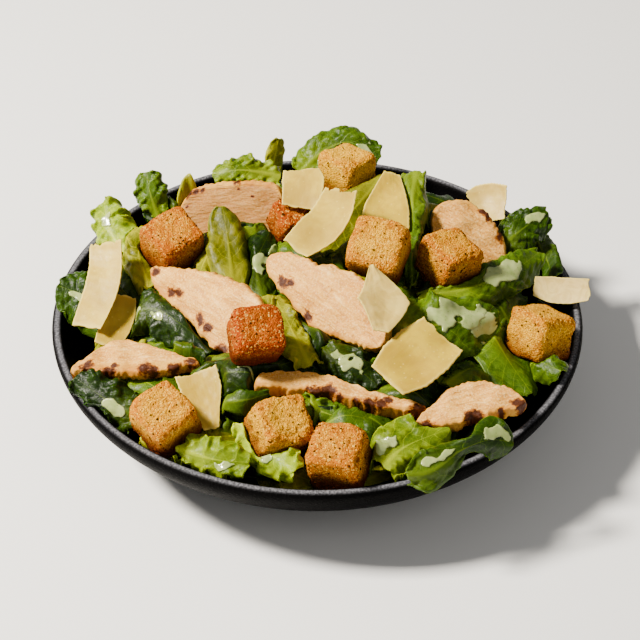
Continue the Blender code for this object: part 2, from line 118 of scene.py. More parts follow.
# Chicken slices: both tips and a point that the upper edge leans towards in mm, the heights of the upper
# edge over the line between the tips and the depths of the lower edge under it, at even steps in mm, then
# thickness and bend in mm, the edge with the rind (1 upper, -1 lower), how far that reaches in mm, the
# scorched patches, each at a share along and across with its radius in mm, and how much darker the whole
# slice is painted, partly browned meat and partly painted shade.
CHICKEN = {
    "chicken_back_left": ((-60, 57, 49), (-15, 47, 56), (-36, 60, 63),
        (3, 10, 12, 13, 13.5, 13.5, 13, 10), (1, 7, 11, 12, 12, 12, 10, 5), 7, 1.0, 1, 3.5,
        ((0.1, 0.85, 1.3), (0.16, 0.8, 1.6), (0.22, 0.8, 1.3), (0.08, 0.15, 0.9),
        (0.56, 0.95, 1.5), (0.58, 0.7, 0.8), (0.72, 0.45, 0.8)), 0.68),
    "chicken_left": ((-70, 10, 54), (-24, -39, 54), (-38, -6, 66),
        (2, 6.5, 10.5, 14, 16, 17, 15, 10), (1, 5.5, 6.5, 7.5, 9.5, 11, 9.5, 3), 7, 1.0, -1, 3.5,
        ((0.06, 0.15, 2.2), (0.25, -0.5, 2.4), (0.3, -0.3, 2.2), (0.55, -0.65, 2.6),
        (0.63, -0.65, 2.4), (0.8, -0.95, 3.2)), 0),
    "chicken_front_left": ((-98, -44, 47), (-47, -44, 50), (-72, -27, 49),
        (1.5, 8, 15, 15.5, 12.5, 9, 5, 1.5), (1, 1.5, 3, 3.5, 4, 3.5, 2, 1), 6, 0.5, -1, 6.5,
        ((0.12, -0.7, 2.6), (0.14, -0.2, 1.2), (0.3, -1, 2.8), (0.34, -0.7, 1.6),
        (0.57, -0.8, 2.6), (0.64, -1, 2.4), (0.8, -0.9, 2.6), (0.94, -0.5, 2.4)), 0),
    "chicken_middle": ((-21, 2, 66), (25, -42, 56), (13, -11, 72),
        (4, 9, 11, 15, 17, 17.5, 16, 5), (2, 6, 7.5, 9.5, 10.5, 8, 5.5, 2), 8, 1.5, -1, 3.0,
        ((0.2, -0.55, 2.6), (0.25, -0.4, 1.8), (0.48, -0.85, 2.4)), 0),
    "chicken_front": ((-24, -58, 53), (42, -70, 49), (11, -56, 52),
        (4, 7, 8.5, 8.5, 6, 4, 3, 2), (3.5, 1.5, 1.5, 0.5, 2, 3, 3, 1), 8, 0.5, -1, 2.2,
        ((0.36, -1, 3.6), (0.43, -0.9, 3.2), (0.5, -1, 1.4), (0.6, -1, 1.3), (0.68, -1, 2.6),
        (0.74, -0.5, 2.6), (0.78, 0, 1.8), (0.96, -1, 3.0)), 0),
    "chicken_front_right": ((38, -76, 47), (81, -70, 52), (57, -59, 53),
        (1, 5.5, 10.5, 13.5, 14, 12.5, 9, 2), (1, 3, 4, 3, 3, 2.5, 2, 1), 8, 0.5, -1, 3.0,
        ((0.1, -1, 2.4), (0.5, -1, 3.0), (0.55, -0.9, 2.2), (0.76, -1, 1.4),
        (0.92, -0.5, 2.2), (0.95, -1, 2.4)), 0),
    "chicken_back_right": ((49, 41, 60), (80, 27, 46), (72, 42, 61),
        (6, 10.5, 12.5, 13, 12, 10, 6.5, 2), (3, 7.5, 9.5, 10.5, 10.5, 9.5, 7.5, 3), 7, 1.5,
        1, 3.0, ((0.48, 0.92, 2.0), (0.55, 0.9, 2.0), (0.8, 0.75, 1.8), (0.78, 1, 1.5)), 0.15),
}

# Shavings: points along the middle in mm, facing, half widths at even steps in mm, bow across in radians,
# how ragged the first and the last end are in mm, and how pale the cheese is.
SHAVINGS = {
    "shaving_back_left": (((-7, 52, 75), (-6, 43, 73), (-8, 33, 69)), (0, -0.4, 0.9),
        (7.5, 9, 8.5, 7), 0.15, 1.2, 0.8, 0.1),
    "shaving_long": (((10, 32, 79), (4, 14, 76), (-9, 0, 72)), (-0.3, -0.5, 0.8),
        (7, 9, 9, 6.5), 0.25, 3.5, 1, 0.1),
    "shaving_back": (((32, 58, 69), (30, 42, 67), (28, 26, 64)), (0.1, -0.4, 0.9),
        (3.5, 6.5, 9.5, 10.5), 0.2, 0.6, 0.6, 0),
    "shaving_left": (((-88, 20, 61), (-88, 2, 54), (-94, -18, 46)), (-0.3, -0.6, 0.7),
        (7, 7.5, 7.5, 6.5), 0.2, 4.5, 0.8, 0.15),
    "shaving_left_under": (((-80, 2, 47), (-82, -10, 44), (-86, -24, 41)), (0.2, -0.5, 0.8),
        (5, 6.5, 6.5, 5), 0.1, 1.5, 1, 0),
    "shaving_middle": (((22, -16, 77), (26, -34, 73), (25, -47, 68)), (0.3, -0.3, 0.9),
        (1, 11, 3), 0.1, 0, 0.4, 0.4),
    "shaving_front": (((50, -41, 62), (38, -54, 60), (27, -65, 58)), (-0.1, -0.5, 0.85),
        (10.5, 12.5, 12, 8.5), 0.1, 1.4, 0.6, 0),
    "shaving_right_rim": (((90, 8, 47), (101, 6, 46), (113, 3, 49)), (0.1, -0.75, 0.6),
        (4, 5.5, 5.5, 4.5), 0.3, 0.8, 1, 0.7),
    "shaving_back_rim": (((66, 65, 46), (73, 65, 48), (82, 61, 51)), (0, -0.7, 0.7),
        (6, 8, 8.5, 7.5), 0.15, 2, 1, 0.3),
    "shaving_front_left": (((-48, -51, 51), (-44, -63, 46), (-41, -75, 42)), (0.1, -0.75, 0.6),
        (8.5, 8, 5, 3), 0.1, 1.6, 0.5, 0),
}

# Leaves, the ones on top first: points from stem to tip in mm, facing, half width in mm, either at its widest
# or at even steps, curl across in degrees, ruffle height in mm, number of ruffles, tone, and crinkle height
# and rib width in mm.
LEAVES = {
    "leaf_back_upright": (((42, 61, 68), (40, 39, 66), (39, 20, 62), (39, -4, 57)), (0.1, -0.6, 0.8),
        (6, 9.5, 8.5, 5, 3.5, 3), 50, 3.0, 4, "bright", 1.3, 0.7),
    "leaf_back_smooth": (((29, 64, 63), (15, 41, 61), (2, 10, 58)), (0, -0.4, 0.9),
        10, 25, 1, 2, "lime", 0.3, 1.2),
    "leaf_pointed": (((-35, 1, 52), (-37, 19, 60), (-40, 35, 68)), (0.2, -0.8, 0.6),
        9, 30, 1, 2, "lime", 0.3, 1.6),
    "leaf_dark_centre": (((-23, -8, 52), (-25, 11, 57), (-20, 27, 61)), (0.1, -0.7, 0.7),
        9, 40, 1, 3, "dark", 0.7, 0.7),
    "leaf_middle_rib": (((-3, -49, 52), (-10, -33, 57), (-17, -16, 60)), (0.3, -0.6, 0.7),
        (6, 7, 5.5, 2.5), 30, 1.5, 3, "young", 1.0, 1.5),
    "leaf_large": (((28, -30, 57), (49, -32, 59), (74, -19, 52)), (0.1, -0.5, 0.85),
        16, 30, 2, 3, "bright", 0.7, 1.0),
    "leaf_back_arch": (((-8, 79, 54), (2, 86, 60), (14, 88, 64), (27, 83, 58)),
        (0, -0.6, 0.8), 10, 40, 1.5, 4, "bright", 1.4, 0.7),
    "leaf_back_crinkled": (((-16, 76, 54), (-32, 74, 59), (-46, 75, 56)), (0, -0.6, 0.8),
        8, 35, 2, 4, "crisp", 1.4, 0.8),
    "leaf_spike": (((-20, 86, 46), (-19, 87, 56), (-17, 89, 65)), (0.1, -0.9, 0.3),
        4.5, 30, 0.5, 2, "young", 0.4, 0.8),
    "leaf_right_pool": (((41, -11, 56), (62, -6, 57), (81, 8, 55), (94, 26, 51)), (0.1, -0.5, 0.85),
        (2.5, 5, 8.5, 9.5, 8, 5), 30, 1.5, 4, "bright", 1.0, 1.2),
    "leaf_right_curled": (((77, 34, 46), (87, 39, 53), (99, 50, 54)), (0, -0.6, 0.8),
        10, 45, 2, 4, "green", 1.2, 0.8),
    "leaf_dark_curled": (((2, -42, 54), (13, -48, 53), (24, -55, 47)), (0.2, -0.6, 0.8),
        9, 45, 1.5, 3, "dark", 1.1, 0.8),
    "leaf_right_pleats": (((68, -19, 50), (75, -35, 46), (85, -52, 40)),
        (0.5, -0.4, 0.8), 12, 30, 0.8, 2, "bright", 0.25, 1.2),
    "leaf_left_curls": (((-82, -12, 46), (-68, -12, 51), (-56, -21, 51), (-42, -32, 46)),
        (0, -0.5, 0.85), 11, 45, 2, 4, "dark", 0.8, 0.7),
    "leaf_left_knob": (((-68, 54, 46), (-72, 59, 56), (-74, 67, 63)), (-0.1, -0.7, 0.6),
        (5, 7, 8, 6.5), 50, 1.5, 3, "bright", 1.3, 0.8),
    "leaf_left_fold": (((-70, 8, 46), (-75, 22, 52), (-75, 39, 55)), (0.1, -0.6, 0.8),
        7, 40, 1.5, 3, "young", 0.6, 1.2),
    "leaf_left_frill": (((-83, 33, 44), (-90, 46, 50), (-92, 56, 56)), (-0.4, -0.7, 0.6),
        10, 35, 2.5, 5, "frill", 1.1, 0.9),
    "leaf_dark_front": (((-50, -50, 47), (-31, -56, 55), (-10, -57, 53)), (0, -0.5, 0.85),
        9, 35, 1, 3, "dark", 0.4, 0.8),
    "leaf_left": (((-80, -10, 41), (-95, 1, 46), (-108, 7, 48)), (-0.1, -0.5, 0.85),
        13, 35, 1.5, 3, "green", 0.7, 1.5),
    "leaf_over_rim": (((34, -106, 46), (44, -103, 47), (54, -96, 50), (65, -91, 51), (75, -89, 48)),
        (0.2, -0.8, 0.6), (4, 8.5, 6.5, 3.5, 9, 6.5), 35, 1.5, 4, "green", 0.6, 0.9),
    "leaf_front_ruffled": (((25, -97, 43), (34, -88, 45), (51, -80, 47)), (-0.1, -0.7, 0.7),
        12, 35, 2.5, 5, "crisp", 0.55, 1.0),
    "leaf_right_curl": (((79, -25, 44), (88, -37, 45), (97, -45, 46)), (0.1, -0.6, 0.8),
        8, 50, 1.5, 3, "bright", 0.8, 1.0),
    "leaf_front_frill": (((-30, -73, 45), (-21, -88, 44), (-8, -100, 44)),
        (-0.3, -0.6, 0.8), 9, 35, 2.5, 6, "frill", 0.7, 0.8),
    "leaf_front_left_frill": (((-53, -87, 43), (-40, -93, 43), (-26, -96, 44)),
        (-0.1, -0.7, 0.7), 9, 35, 2, 5, "crisp", 0.6, 1.0),
    "leaf_front_left": (((-70, -67, 40), (-83, -59, 43), (-96, -50, 47)),
        (-0.3, -0.6, 0.8), 10, 40, 2, 4, "dark", 1.0, 0.8),
}

# Smaller leaves of the bed that show between the toppings, laid out like those above.
BED_LEAVES = (
    (((-59, 59, 57), (-53, 62, 61), (-47, 61, 59)), (0, -0.8, 0.5), (2.5, 5, 5.5, 3),
     55, 1.5, 2, "young", 0.8, 0.8),
    (((-60, 59, 50), (-67, 55, 52), (-74, 52, 49)), (-0.1, -0.6, 0.8), 7, 40, 1.5, 3, "dark", 0.8, 0.7),
    (((95, 49, 40), (98, 33, 41), (99, 19, 40)), (-0.7, -0.2, 0.6), 6, 30, 1, 2, "green", 0.5, 0.8),
    (((-38, -66, 48), (-28, -68, 51), (-19, -63, 50)), (0, -0.8, 0.6), (3, 6, 6.5, 3),
     25, 1, 2, "green", 0.3, 0.8),
    (((-9, -65, 46), (3, -71, 47), (15, -75, 44)), (0.1, -0.8, 0.6), 5, 40, 2, 5, "bright", 1.0, 0.7),
    (((-59, -37, 50), (-52, -41, 52), (-45, -42, 49)), (0, -0.7, 0.7), 5, 35, 1, 3, "green", 0.5, 0.6),
)

# Pools of dressing: the leaf, the share along and across, then length, width and depth in mm.
POOLS = (
    ("leaf_large", 0.66, 0.25, 26, 15, 1.1),
    ("leaf_large", 0.86, -0.1, 13, 16, 0.9),
    ("leaf_right_pool", 0.62, 0.1, 24, 10, 1.1),
    ("leaf_right_curled", 0.78, 0.1, 9, 6, 0.8),
    ("leaf_back_arch", 0.3, -0.4, 11, 6, 0.9),
    ("leaf_back_arch", 0.85, 0.1, 8, 8, 0.9),
    ("leaf_dark_centre", 0.5, -0.2, 12, 8, 1.0),
    ("leaf_dark_centre", 0.75, -0.7, 9, 5, 0.8),
    ("leaf_dark_curled", 0.45, 0, 13, 8, 0.9),
    ("leaf_left_curls", 0.15, 0.1, 8, 3.5, 0.7),
    ("leaf_left_curls", 0.45, -0.2, 10, 3.5, 0.7),
    ("leaf_left", 0.55, 0.1, 17, 3.5, 0.8),
    ("leaf_front_left", 0.35, 0.1, 10, 6, 0.9),
    ("leaf_front_frill", 0.3, 0.2, 13, 6, 1.0),
    ("leaf_front_frill", 0.6, -0.2, 6, 4, 0.8),
    ("leaf_front_ruffled", 0.3, 0.45, 10, 7, 1.0),
    ("leaf_over_rim", 0.3, 0.35, 15, 4, 0.8),
    ("leaf_over_rim", 0.84, 0.35, 13, 6, 0.8),
    ("leaf_front_left_frill", 0.65, -0.2, 8, 4, 0.8),
    ("leaf_dark_front", 0.6, 0.3, 8, 3, 0.6),
    ("leaf_left_frill", 0.6, 0, 8, 5, 0.7),
)

# The colours of each tone of leaf: lit blade, darker blade that also serves as painted shade in the hollows,
# stem and vein.
TONES = {
    "young": ((0.36, 0.34, 0.0003), (0.07, 0.08, 0.0003), (0.5, 0.48, 0.008), (0.42, 0.41, 0.001)),
    "lime": ((0.18, 0.17, 0.0003), (0.035, 0.045, 0.0003), (0.32, 0.32, 0.006), (0.26, 0.26, 0.001)),
    "frill": ((0.33, 0.42, 0.0005), (0.13, 0.21, 0.0003), (0.55, 0.62, 0.02), (0.48, 0.56, 0.004)),
    "crisp": ((0.2, 0.27, 0.0004), (0.05, 0.095, 0.0003), (0.42, 0.5, 0.015), (0.3, 0.38, 0.003)),
    "bright": ((0.08, 0.145, 0.0003), (0.017, 0.046, 0.0003), (0.26, 0.34, 0.006), (0.14, 0.21, 0.001)),
    "green": ((0.027, 0.066, 0.0003), (0.0055, 0.018, 0.0003), (0.15, 0.22, 0.004), (0.06, 0.115, 0.001)),
    "dark": ((0.01, 0.028, 0.0003), (0.0022, 0.008, 0.0003), (0.08, 0.125, 0.003), (0.026, 0.056, 0.0006)),
}


def normalised(vectors):
    """The vectors at unit length."""
    return vectors / np.maximum(np.linalg.norm(vectors, axis=-1, keepdims=True), 1e-12)


def smooth_step(low, high, values):
    """0 below low, 1 above high and a smooth turn between them."""
    share = np.clip((values - low) / (high - low), 0, 1)
    return share * share * (3 - 2 * share)


def ripples(points, wavelength, seed, waves=8):
    """Smooth seeded unevenness of about -1 to 1, from waves that run in random directions."""
    rng = np.random.default_rng(seed)
    directions = normalised(rng.normal(size=(waves, points.shape[-1])))
    lengths = wavelength * rng.uniform(0.7, 1.4, waves)
    phases = rng.uniform(0, math.tau, waves)
    return np.sin(points @ (directions / lengths[:, None]).T * math.tau + phases).sum(-1) / waves ** 0.5 / 1.2


def along(points, share):
    """Points this far along the smooth curve through all the points."""
    place = np.clip(share, 0, 0.9999) * (len(points) - 1)
    i = place.astype(int)
    t = (place - i)[..., None]
    ends = np.vstack([2 * points[0] - points[1], points, 2 * points[-1] - points[-2]])
    first, second, third, fourth = (ends[i + step] for step in range(4))
    return 0.5 * (2 * second + (third - first) * t
                  + (2 * first - 5 * second + 4 * third - fourth) * t * t
                  + (3 * second - 3 * third + fourth - first) * t ** 3)


def outline(values, share):
    """Values that stand at even steps, taken this far through them on a smooth curve."""
    return along(np.array(values, float)[:, None], share)[..., 0]


def share_and_side(rows, columns):
    """Grids of how far along each point is, from 0 to 1, and how far across, from -1 to 1."""
    return np.meshgrid(np.linspace(0, 1, rows), np.linspace(-1, 1, columns), indexing="ij")


def curve_length(points):
    """How long the straight lines between the points are together."""
    return np.linalg.norm(np.diff(points, axis=0), axis=1).sum()


def quarter_circle(values):
    """1 at 0, and down a quarter of a circle to 0 at 1."""
    return np.sqrt(1 - np.clip(values, 0, 1) ** 2)


def strip(points, facing, half_width, curl, share, side):
    """Points on a strip that follows a curve, with the directions ahead and upward of each."""
    middle = along(points, share)
    before, after = np.maximum(share - 0.01, 0), np.minimum(share + 0.01, 1)
    ahead = normalised(along(points, after) - along(points, before))
    across = normalised(np.cross(np.array(facing, float), ahead))
    upward = np.cross(ahead, across)
    angle = max(abs(curl), 0.01)
    radius = (half_width / angle)[..., None]
    turn = (side * angle)[..., None]
    rise = math.copysign(1, curl) * radius * (1 - np.cos(turn))
    return middle + across * radius * np.sin(turn) + upward * rise, ahead, upward


def grid_normals(points):
    """The normal of a grid of points at each of them."""
    return normalised(np.cross(np.gradient(points, axis=0), np.gradient(points, axis=1)))


def blurred(values):
    """A grid of values, each the mean of itself and its neighbours."""
    edged = np.pad(values, 1, mode="edge")
    return (edged[:-2, 1:-1] + edged[2:, 1:-1] + edged[1:-1, :-2] + edged[1:-1, 2:] + 2 * values) / 6


def shell(name, upper, lower, coordinates, values, wall_rings=1, bulge=0):
    """A closed skin between an upper and a lower grid of points. The grids' own coordinates become its UV
    map, and the values are grids too. The wall round the edge has rings and may bulge."""
    rows, columns = upper.shape[:2]
    index = np.arange(rows * columns).reshape(rows, columns)
    edge = np.concatenate([index[0, :-1], index[:-1, -1], index[-1, :0:-1], index[:0:-1, 0]])
    flat_upper, flat_lower = upper.reshape(-1, 3), lower.reshape(-1, 3)
    outward = normalised(flat_upper[edge] - flat_upper.mean(0))
    points = [flat_upper, flat_lower]
    rings = [edge]
    for ring in range(1, wall_rings):
        share = ring / wall_rings
        points.append(flat_upper[edge] * (1 - share) + flat_lower[edge] * share
                      + outward * bulge * math.sin(math.pi * share))
        rings.append(2 * rows * columns + (ring - 1) * len(edge) + np.arange(len(edge)))
    rings.append(edge + rows * columns)
    quads = np.stack([index[:-1, :-1], index[1:, :-1], index[1:, 1:], index[:-1, 1:]], -1).reshape(-1, 4)
    faces = [quads, quads[:, ::-1] + rows * columns]
    for first, second in zip(rings, rings[1:]):
        faces.append(np.stack([first, np.roll(first, -1), np.roll(second, -1), second], -1))
    mesh = bpy.data.meshes.new(name)
    mesh.from_pydata(np.concatenate(points).tolist(), [], np.concatenate(faces).tolist())
    sources = np.concatenate([index.ravel(), index.ravel()] + [edge] * (wall_rings - 1))
    corners = np.empty(len(mesh.loops), np.int32)
    mesh.loops.foreach_get("vertex_index", corners)
    layer = mesh.uv_layers.new(name="own")
    layer.uv.foreach_set("vector", coordinates.reshape(-1, 2)[sources][corners].astype(np.float32).ravel())
    on_wall = np.zeros(len(sources))
    on_wall[rows * columns:] = 1
    for ring in range(1, wall_rings):
        on_wall[rings[ring]] = ring / wall_rings
    keep_values(mesh, {name: grid.ravel()[sources] for name, grid in values.items()} | {"wall": on_wall})
    shape = shape_of(mesh)
    bmesh.ops.recalc_face_normals(shape, faces=shape.faces)
    filled(mesh, shape).shade_smooth()
    return mesh


def filled(mesh, shape):
    """The mesh, filled from a shape that is then done with."""
    shape.to_mesh(mesh)
    shape.free()
    return mesh


def shape_of(mesh):
    """A shape to edit that starts as the mesh is."""
    shape = bmesh.new()
    shape.from_mesh(mesh)
    return shape


def points_of(mesh):
    """Where the points of a mesh are."""
    return np.array([point.co for point in mesh.vertices])


def move_points(mesh, points):
    """Puts the points of a mesh in these places."""
    mesh.vertices.foreach_set("co", points.astype(np.float32).ravel())


def keep_values(mesh, values):
    """Keeps values at the points of a mesh, each under its name."""
    for name, numbers in values.items():
        attribute = mesh.attributes.new(name, "FLOAT", "POINT")
        attribute.data.foreach_set("value", numbers.astype(np.float32))


def new_object(name, data):
    """A new object in the scene."""
    made = bpy.data.objects.new(name, data)
    bpy.context.scene.collection.objects.link(made)
    return made


def piece_of(name, mesh, finish, slot, *nodes):
    """A finished piece: it holds this mesh in this finish, rides on the bowl, and replaces these solids."""
    piece = new_object(name, mesh)
    if finish is not None:
        mesh.materials.clear()
        mesh.materials.append(finish)
    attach(piece, "root")
    if nodes:
        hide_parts(*nodes)
    return piece


def joined(name, meshes):
    """One mesh made of several that share their layers and attributes."""
    objects = [new_object(name, mesh) for mesh in meshes]
    with bpy.context.temp_override(active_object=objects[0], selected_editable_objects=objects):
        bpy.ops.object.join()
    whole = objects[0].data
    bpy.data.objects.remove(objects[0])
    whole.name = name
    return whole


# Finishes.

class Nodes:
    """Short calls that add and link the nodes of one tree."""

    def __init__(self, tree):
        self.tree = tree

    def add(self, kind, inputs=None, **settings):
        """A node with its settings, whose inputs are set to a value or linked to a socket."""
        node = self.tree.nodes.new(kind)
        for key, value in settings.items():
            setattr(node, key, value)
        self.put_all(node, inputs or {})
        return node

    def put_all(self, node, inputs):
        """Sets or links each of these inputs of a node."""
        for key, value in inputs.items():
            self.put(node.inputs[key], value)

    def put(self, socket, value):
        """Sets a socket to a value, or links another socket to it."""
        if isinstance(value, bpy.types.NodeSocket):
            self.tree.links.new(value, socket)
        elif isinstance(value, (tuple, list)) and len(value) == 3 and socket.type == "RGBA":
            socket.default_value = (*value, 1)
        else:
            socket.default_value = value

    def math(self, operation, first, second=0.0, clamp=False):
        """The result of a sum on one or two values."""
        node = self.add("ShaderNodeMath", {0: first, 1: second}, operation=operation, use_clamp=clamp)
        return node.outputs[0]

    def plus(self, first, second, clamp=False):
        """The sum of two values."""
        return self.math("ADD", first, second, clamp)

    def minus(self, first, second):
        """The first value less the second."""
        return self.math("SUBTRACT", first, second)

    def times(self, first, second):
        """The product of two values."""
        return self.math("MULTIPLY", first, second)

    def ramp(self, value, low, high, first=0.0, second=1.0):
        """A value turned smoothly from first at low to second at high."""
        inputs = {"Value": value, "From Min": low, "From Max": high, "To Min": first, "To Max": second}
        return self.add("ShaderNodeMapRange", inputs, interpolation_type="SMOOTHSTEP").outputs[0]

    def mix(self, share, first, second):
        """Two colours mixed by a share."""
        inputs = {0: share, 6: first, 7: second}
        return self.add("ShaderNodeMix", inputs, data_type="RGBA", clamp_factor=True).outputs[2]

    def noise(self, place, scale, detail=2.0, roughness=0.5, distortion=0.0):
        """A cloudy value at this many cycles a metre."""
        inputs = {"Vector": place, "Scale": scale, "Detail": detail, "Roughness": roughness,
                  "Distortion": distortion}
        return self.add("ShaderNodeTexNoise", inputs).outputs["Fac"]

    def cells(self, place, scale, feature="F1"):
        """The distance to the middle, or to the edge, of cells at this many a metre."""
        node = self.add("ShaderNodeTexVoronoi", {"Vector": place, "Scale": scale}, feature=feature)
        return node.outputs["Distance"]

    def attribute(self, name):
        """A value that the mesh holds at each point."""
        return self.add("ShaderNodeAttribute", attribute_name=name).outputs["Fac"]

    def place(self):
        """Where a point is on its piece."""
        return self.add("ShaderNodeTexCoord").outputs["Object"]

    def own_place(self, along, across, turn=0.0):
        """Where a point is on its piece's own map, stretched and turned by an angle."""
        own = self.add("ShaderNodeUVMap", uv_map="own").outputs[0]
        inputs = {"Vector": own, "Scale": (along, across, 1), "Rotation": (0, 0, turn)}
        return self.add("ShaderNodeMapping", inputs).outputs[0]

    def bump(self, height, strength, distance):
        """A normal from a height."""
        inputs = {"Height": height, "Strength": strength, "Distance": distance}
        return self.add("ShaderNodeBump", inputs).outputs["Normal"]


def new_finish(name):
    """A new material, with its tree's short calls and its shader."""
    material = bpy.data.materials.new(name)
    material.use_nodes = True
    return material, Nodes(material.node_tree), material.node_tree.nodes["Principled BSDF"]


def link_finish(nodes, shader, colour, roughness, normal, specular, soft=None):
    """Links a finish to its shader. Where it is soft, that is how much light goes under the surface, how
    far each colour of it does and the scale of that in metres."""
    inputs = {"Base Color": colour, "Roughness": roughness, "Normal": normal, "Specular IOR Level": specular}
    softness = zip(("Subsurface Weight", "Subsurface Radius", "Subsurface Scale"), soft or ())
    nodes.put_all(shader, inputs | dict(softness))


def effect(name, inputs, outputs):
    """An empty shader group with named sockets: its tree's short calls, its input sockets and its output."""
    tree = bpy.data.node_groups.new(name, "ShaderNodeTree")
    for key, value in inputs.items():
        kind = "NodeSocketColor" if isinstance(value, tuple) else "NodeSocketFloat"
        socket = tree.interface.new_socket(key, in_out="INPUT", socket_type=kind)
        socket.default_value = (*value, 1) if isinstance(value, tuple) else value
    for key, kind in outputs.items():
        tree.interface.new_socket(key, in_out="OUTPUT", socket_type=kind)
    nodes = Nodes(tree)
    return nodes, nodes.add("NodeGroupInput").outputs, nodes.add("NodeGroupOutput")


def use_effect(nodes, name, inputs):
    """Places a shader group in a material with its own values, and gives its outputs."""
    return nodes.add("ShaderNodeGroup", inputs, node_tree=bpy.data.node_groups[name]).outputs


def make_mottle_effect():
    """Cloudy unevenness at a coarse and a fine scale, which the finishes share."""
    nodes, given, out = effect("Mottle", {"Coarse": 120.0, "Fine": 900.0},
                               {"Cloud": "NodeSocketFloat", "Grain": "NodeSocketFloat"})
    place = nodes.place()
    nodes.put_all(out, {"Cloud": nodes.ramp(nodes.noise(place, given["Coarse"], 3), 0.3, 0.7),
                        "Grain": nodes.noise(place, given["Fine"], 3, 0.6)})


def make_leaf_effect():
    """Lettuce: a blade that pales towards the stem, sunk pale veins, a rib, and milky smears of dressing,
    with painted light on its raised puckers, painted shade in its hollows, and a pale margin that is partly a
    painted highlight.
    """
    lit, deep_and_shaded, stem, vein = TONES["green"]
    nodes, given, out = effect(
        "Lettuce Leaf",
        {"Lit": lit, "Deep": deep_and_shaded, "Stem": stem, "Vein": vein, "Dressing": (0.26, 0.34, 0.08),
         "Rib Width": 1.0},
        {"Colour": "NodeSocketColor", "Roughness": "NodeSocketFloat", "Height": "NodeSocketFloat"})
    place = nodes.place()
    share, from_rib = nodes.attribute("share"), nodes.attribute("from_rib")
    mottle = use_effect(nodes, "Mottle", {"Coarse": 90.0, "Fine": 700.0})
    wander = nodes.times(nodes.noise(place, 260, 2), 0.5)

    def lines(phase, width):
        wave = nodes.math("ABSOLUTE", nodes.math("SINE", nodes.times(phase, math.pi)))
        return nodes.ramp(wave, 0.0, width, 1.0, 0.0)

    main = lines(nodes.plus(nodes.attribute("vein"), wander), 0.12)
    net = lines(nodes.plus(nodes.attribute("net"), wander), 0.14)
    fine = nodes.ramp(nodes.cells(place, 620, "DISTANCE_TO_EDGE"), 0.0, 0.12, 1.0, 0.0)
    raised = nodes.attribute("relief")
    # Painted light and shade: raised puckers take the lit colour and hollows the shaded one, over cloudy
    # patches of lighter and darker blade.
    tone = nodes.plus(nodes.times(mottle["Cloud"], 0.55), nodes.times(raised, 0.5), True)
    blade = nodes.mix(tone, given["Deep"], given["Lit"])
    blade = nodes.mix(nodes.times(main, 0.6), blade, given["Vein"])
    blade = nodes.mix(nodes.times(net, 0.35), blade, given["Vein"])
    blade = nodes.mix(nodes.times(fine, 0.12), blade, given["Vein"])
    paled = nodes.times(nodes.ramp(share, 0.0, 0.6, 0.4, 0.0), nodes.ramp(from_rib, 1.0, 9.0, 1.0, 0.2))
    blade = nodes.mix(paled, blade, given["Stem"])
    taper = nodes.times(given["Rib Width"], nodes.ramp(share, 0.0, 0.75, 1.4, 0.1))
    rib = nodes.ramp(nodes.math("DIVIDE", from_rib, taper), 0.3, 1.1, 0.4, 0.0)
    blade = nodes.mix(rib, blade, given["Stem"])
    # A pale margin: partly the leaf's paler edge, partly a painted highlight where the edge catches the
    # light.
    blade = nodes.mix(nodes.ramp(nodes.attribute("edge"), 0.95, 1.0, 0.0, 0.6), blade, given["Vein"])
    cloud = nodes.minus(nodes.noise(place, 340, 4, 0.6), 0.5)
    smear = nodes.plus(nodes.attribute("milk"), nodes.times(cloud, 1.5))
    film = nodes.ramp(smear, 0.6, 1.0, 0.0, 0.45)
    shine = nodes.plus(nodes.times(mottle["Grain"], 0.26), 0.26)
    sunk = nodes.plus(nodes.times(main, 0.6), nodes.times(net, 0.35))
    sunk = nodes.plus(sunk, nodes.times(fine, 0.25))
    nodes.put_all(out, {"Colour": nodes.mix(film, blade, given["Dressing"]),
                        "Roughness": nodes.minus(shine, nodes.times(film, 0.08)),
                        "Height": nodes.minus(nodes.times(mottle["Grain"], 0.5), sunk)})


def leaf_finish(tone):
    """Lettuce of one tone, moist with dressing."""
    name = f"Lettuce {tone}"
    if name in bpy.data.materials:
        return bpy.data.materials[name]
    material, nodes, shader = new_finish(name)
    lit, deep_and_shaded, stem, vein = TONES[tone]
    made = use_effect(nodes, "Lettuce Leaf", {"Lit": lit, "Deep": deep_and_shaded, "Stem": stem, "Vein": vein})
    normal = nodes.bump(made["Height"], 0.35, 0.4 * MM)
    soft = (0.4, (0.7, 1.0, 0.05), 1.2 * MM)
    link_finish(nodes, shader, made["Colour"], made["Roughness"], normal, 0.16, soft)
    return material


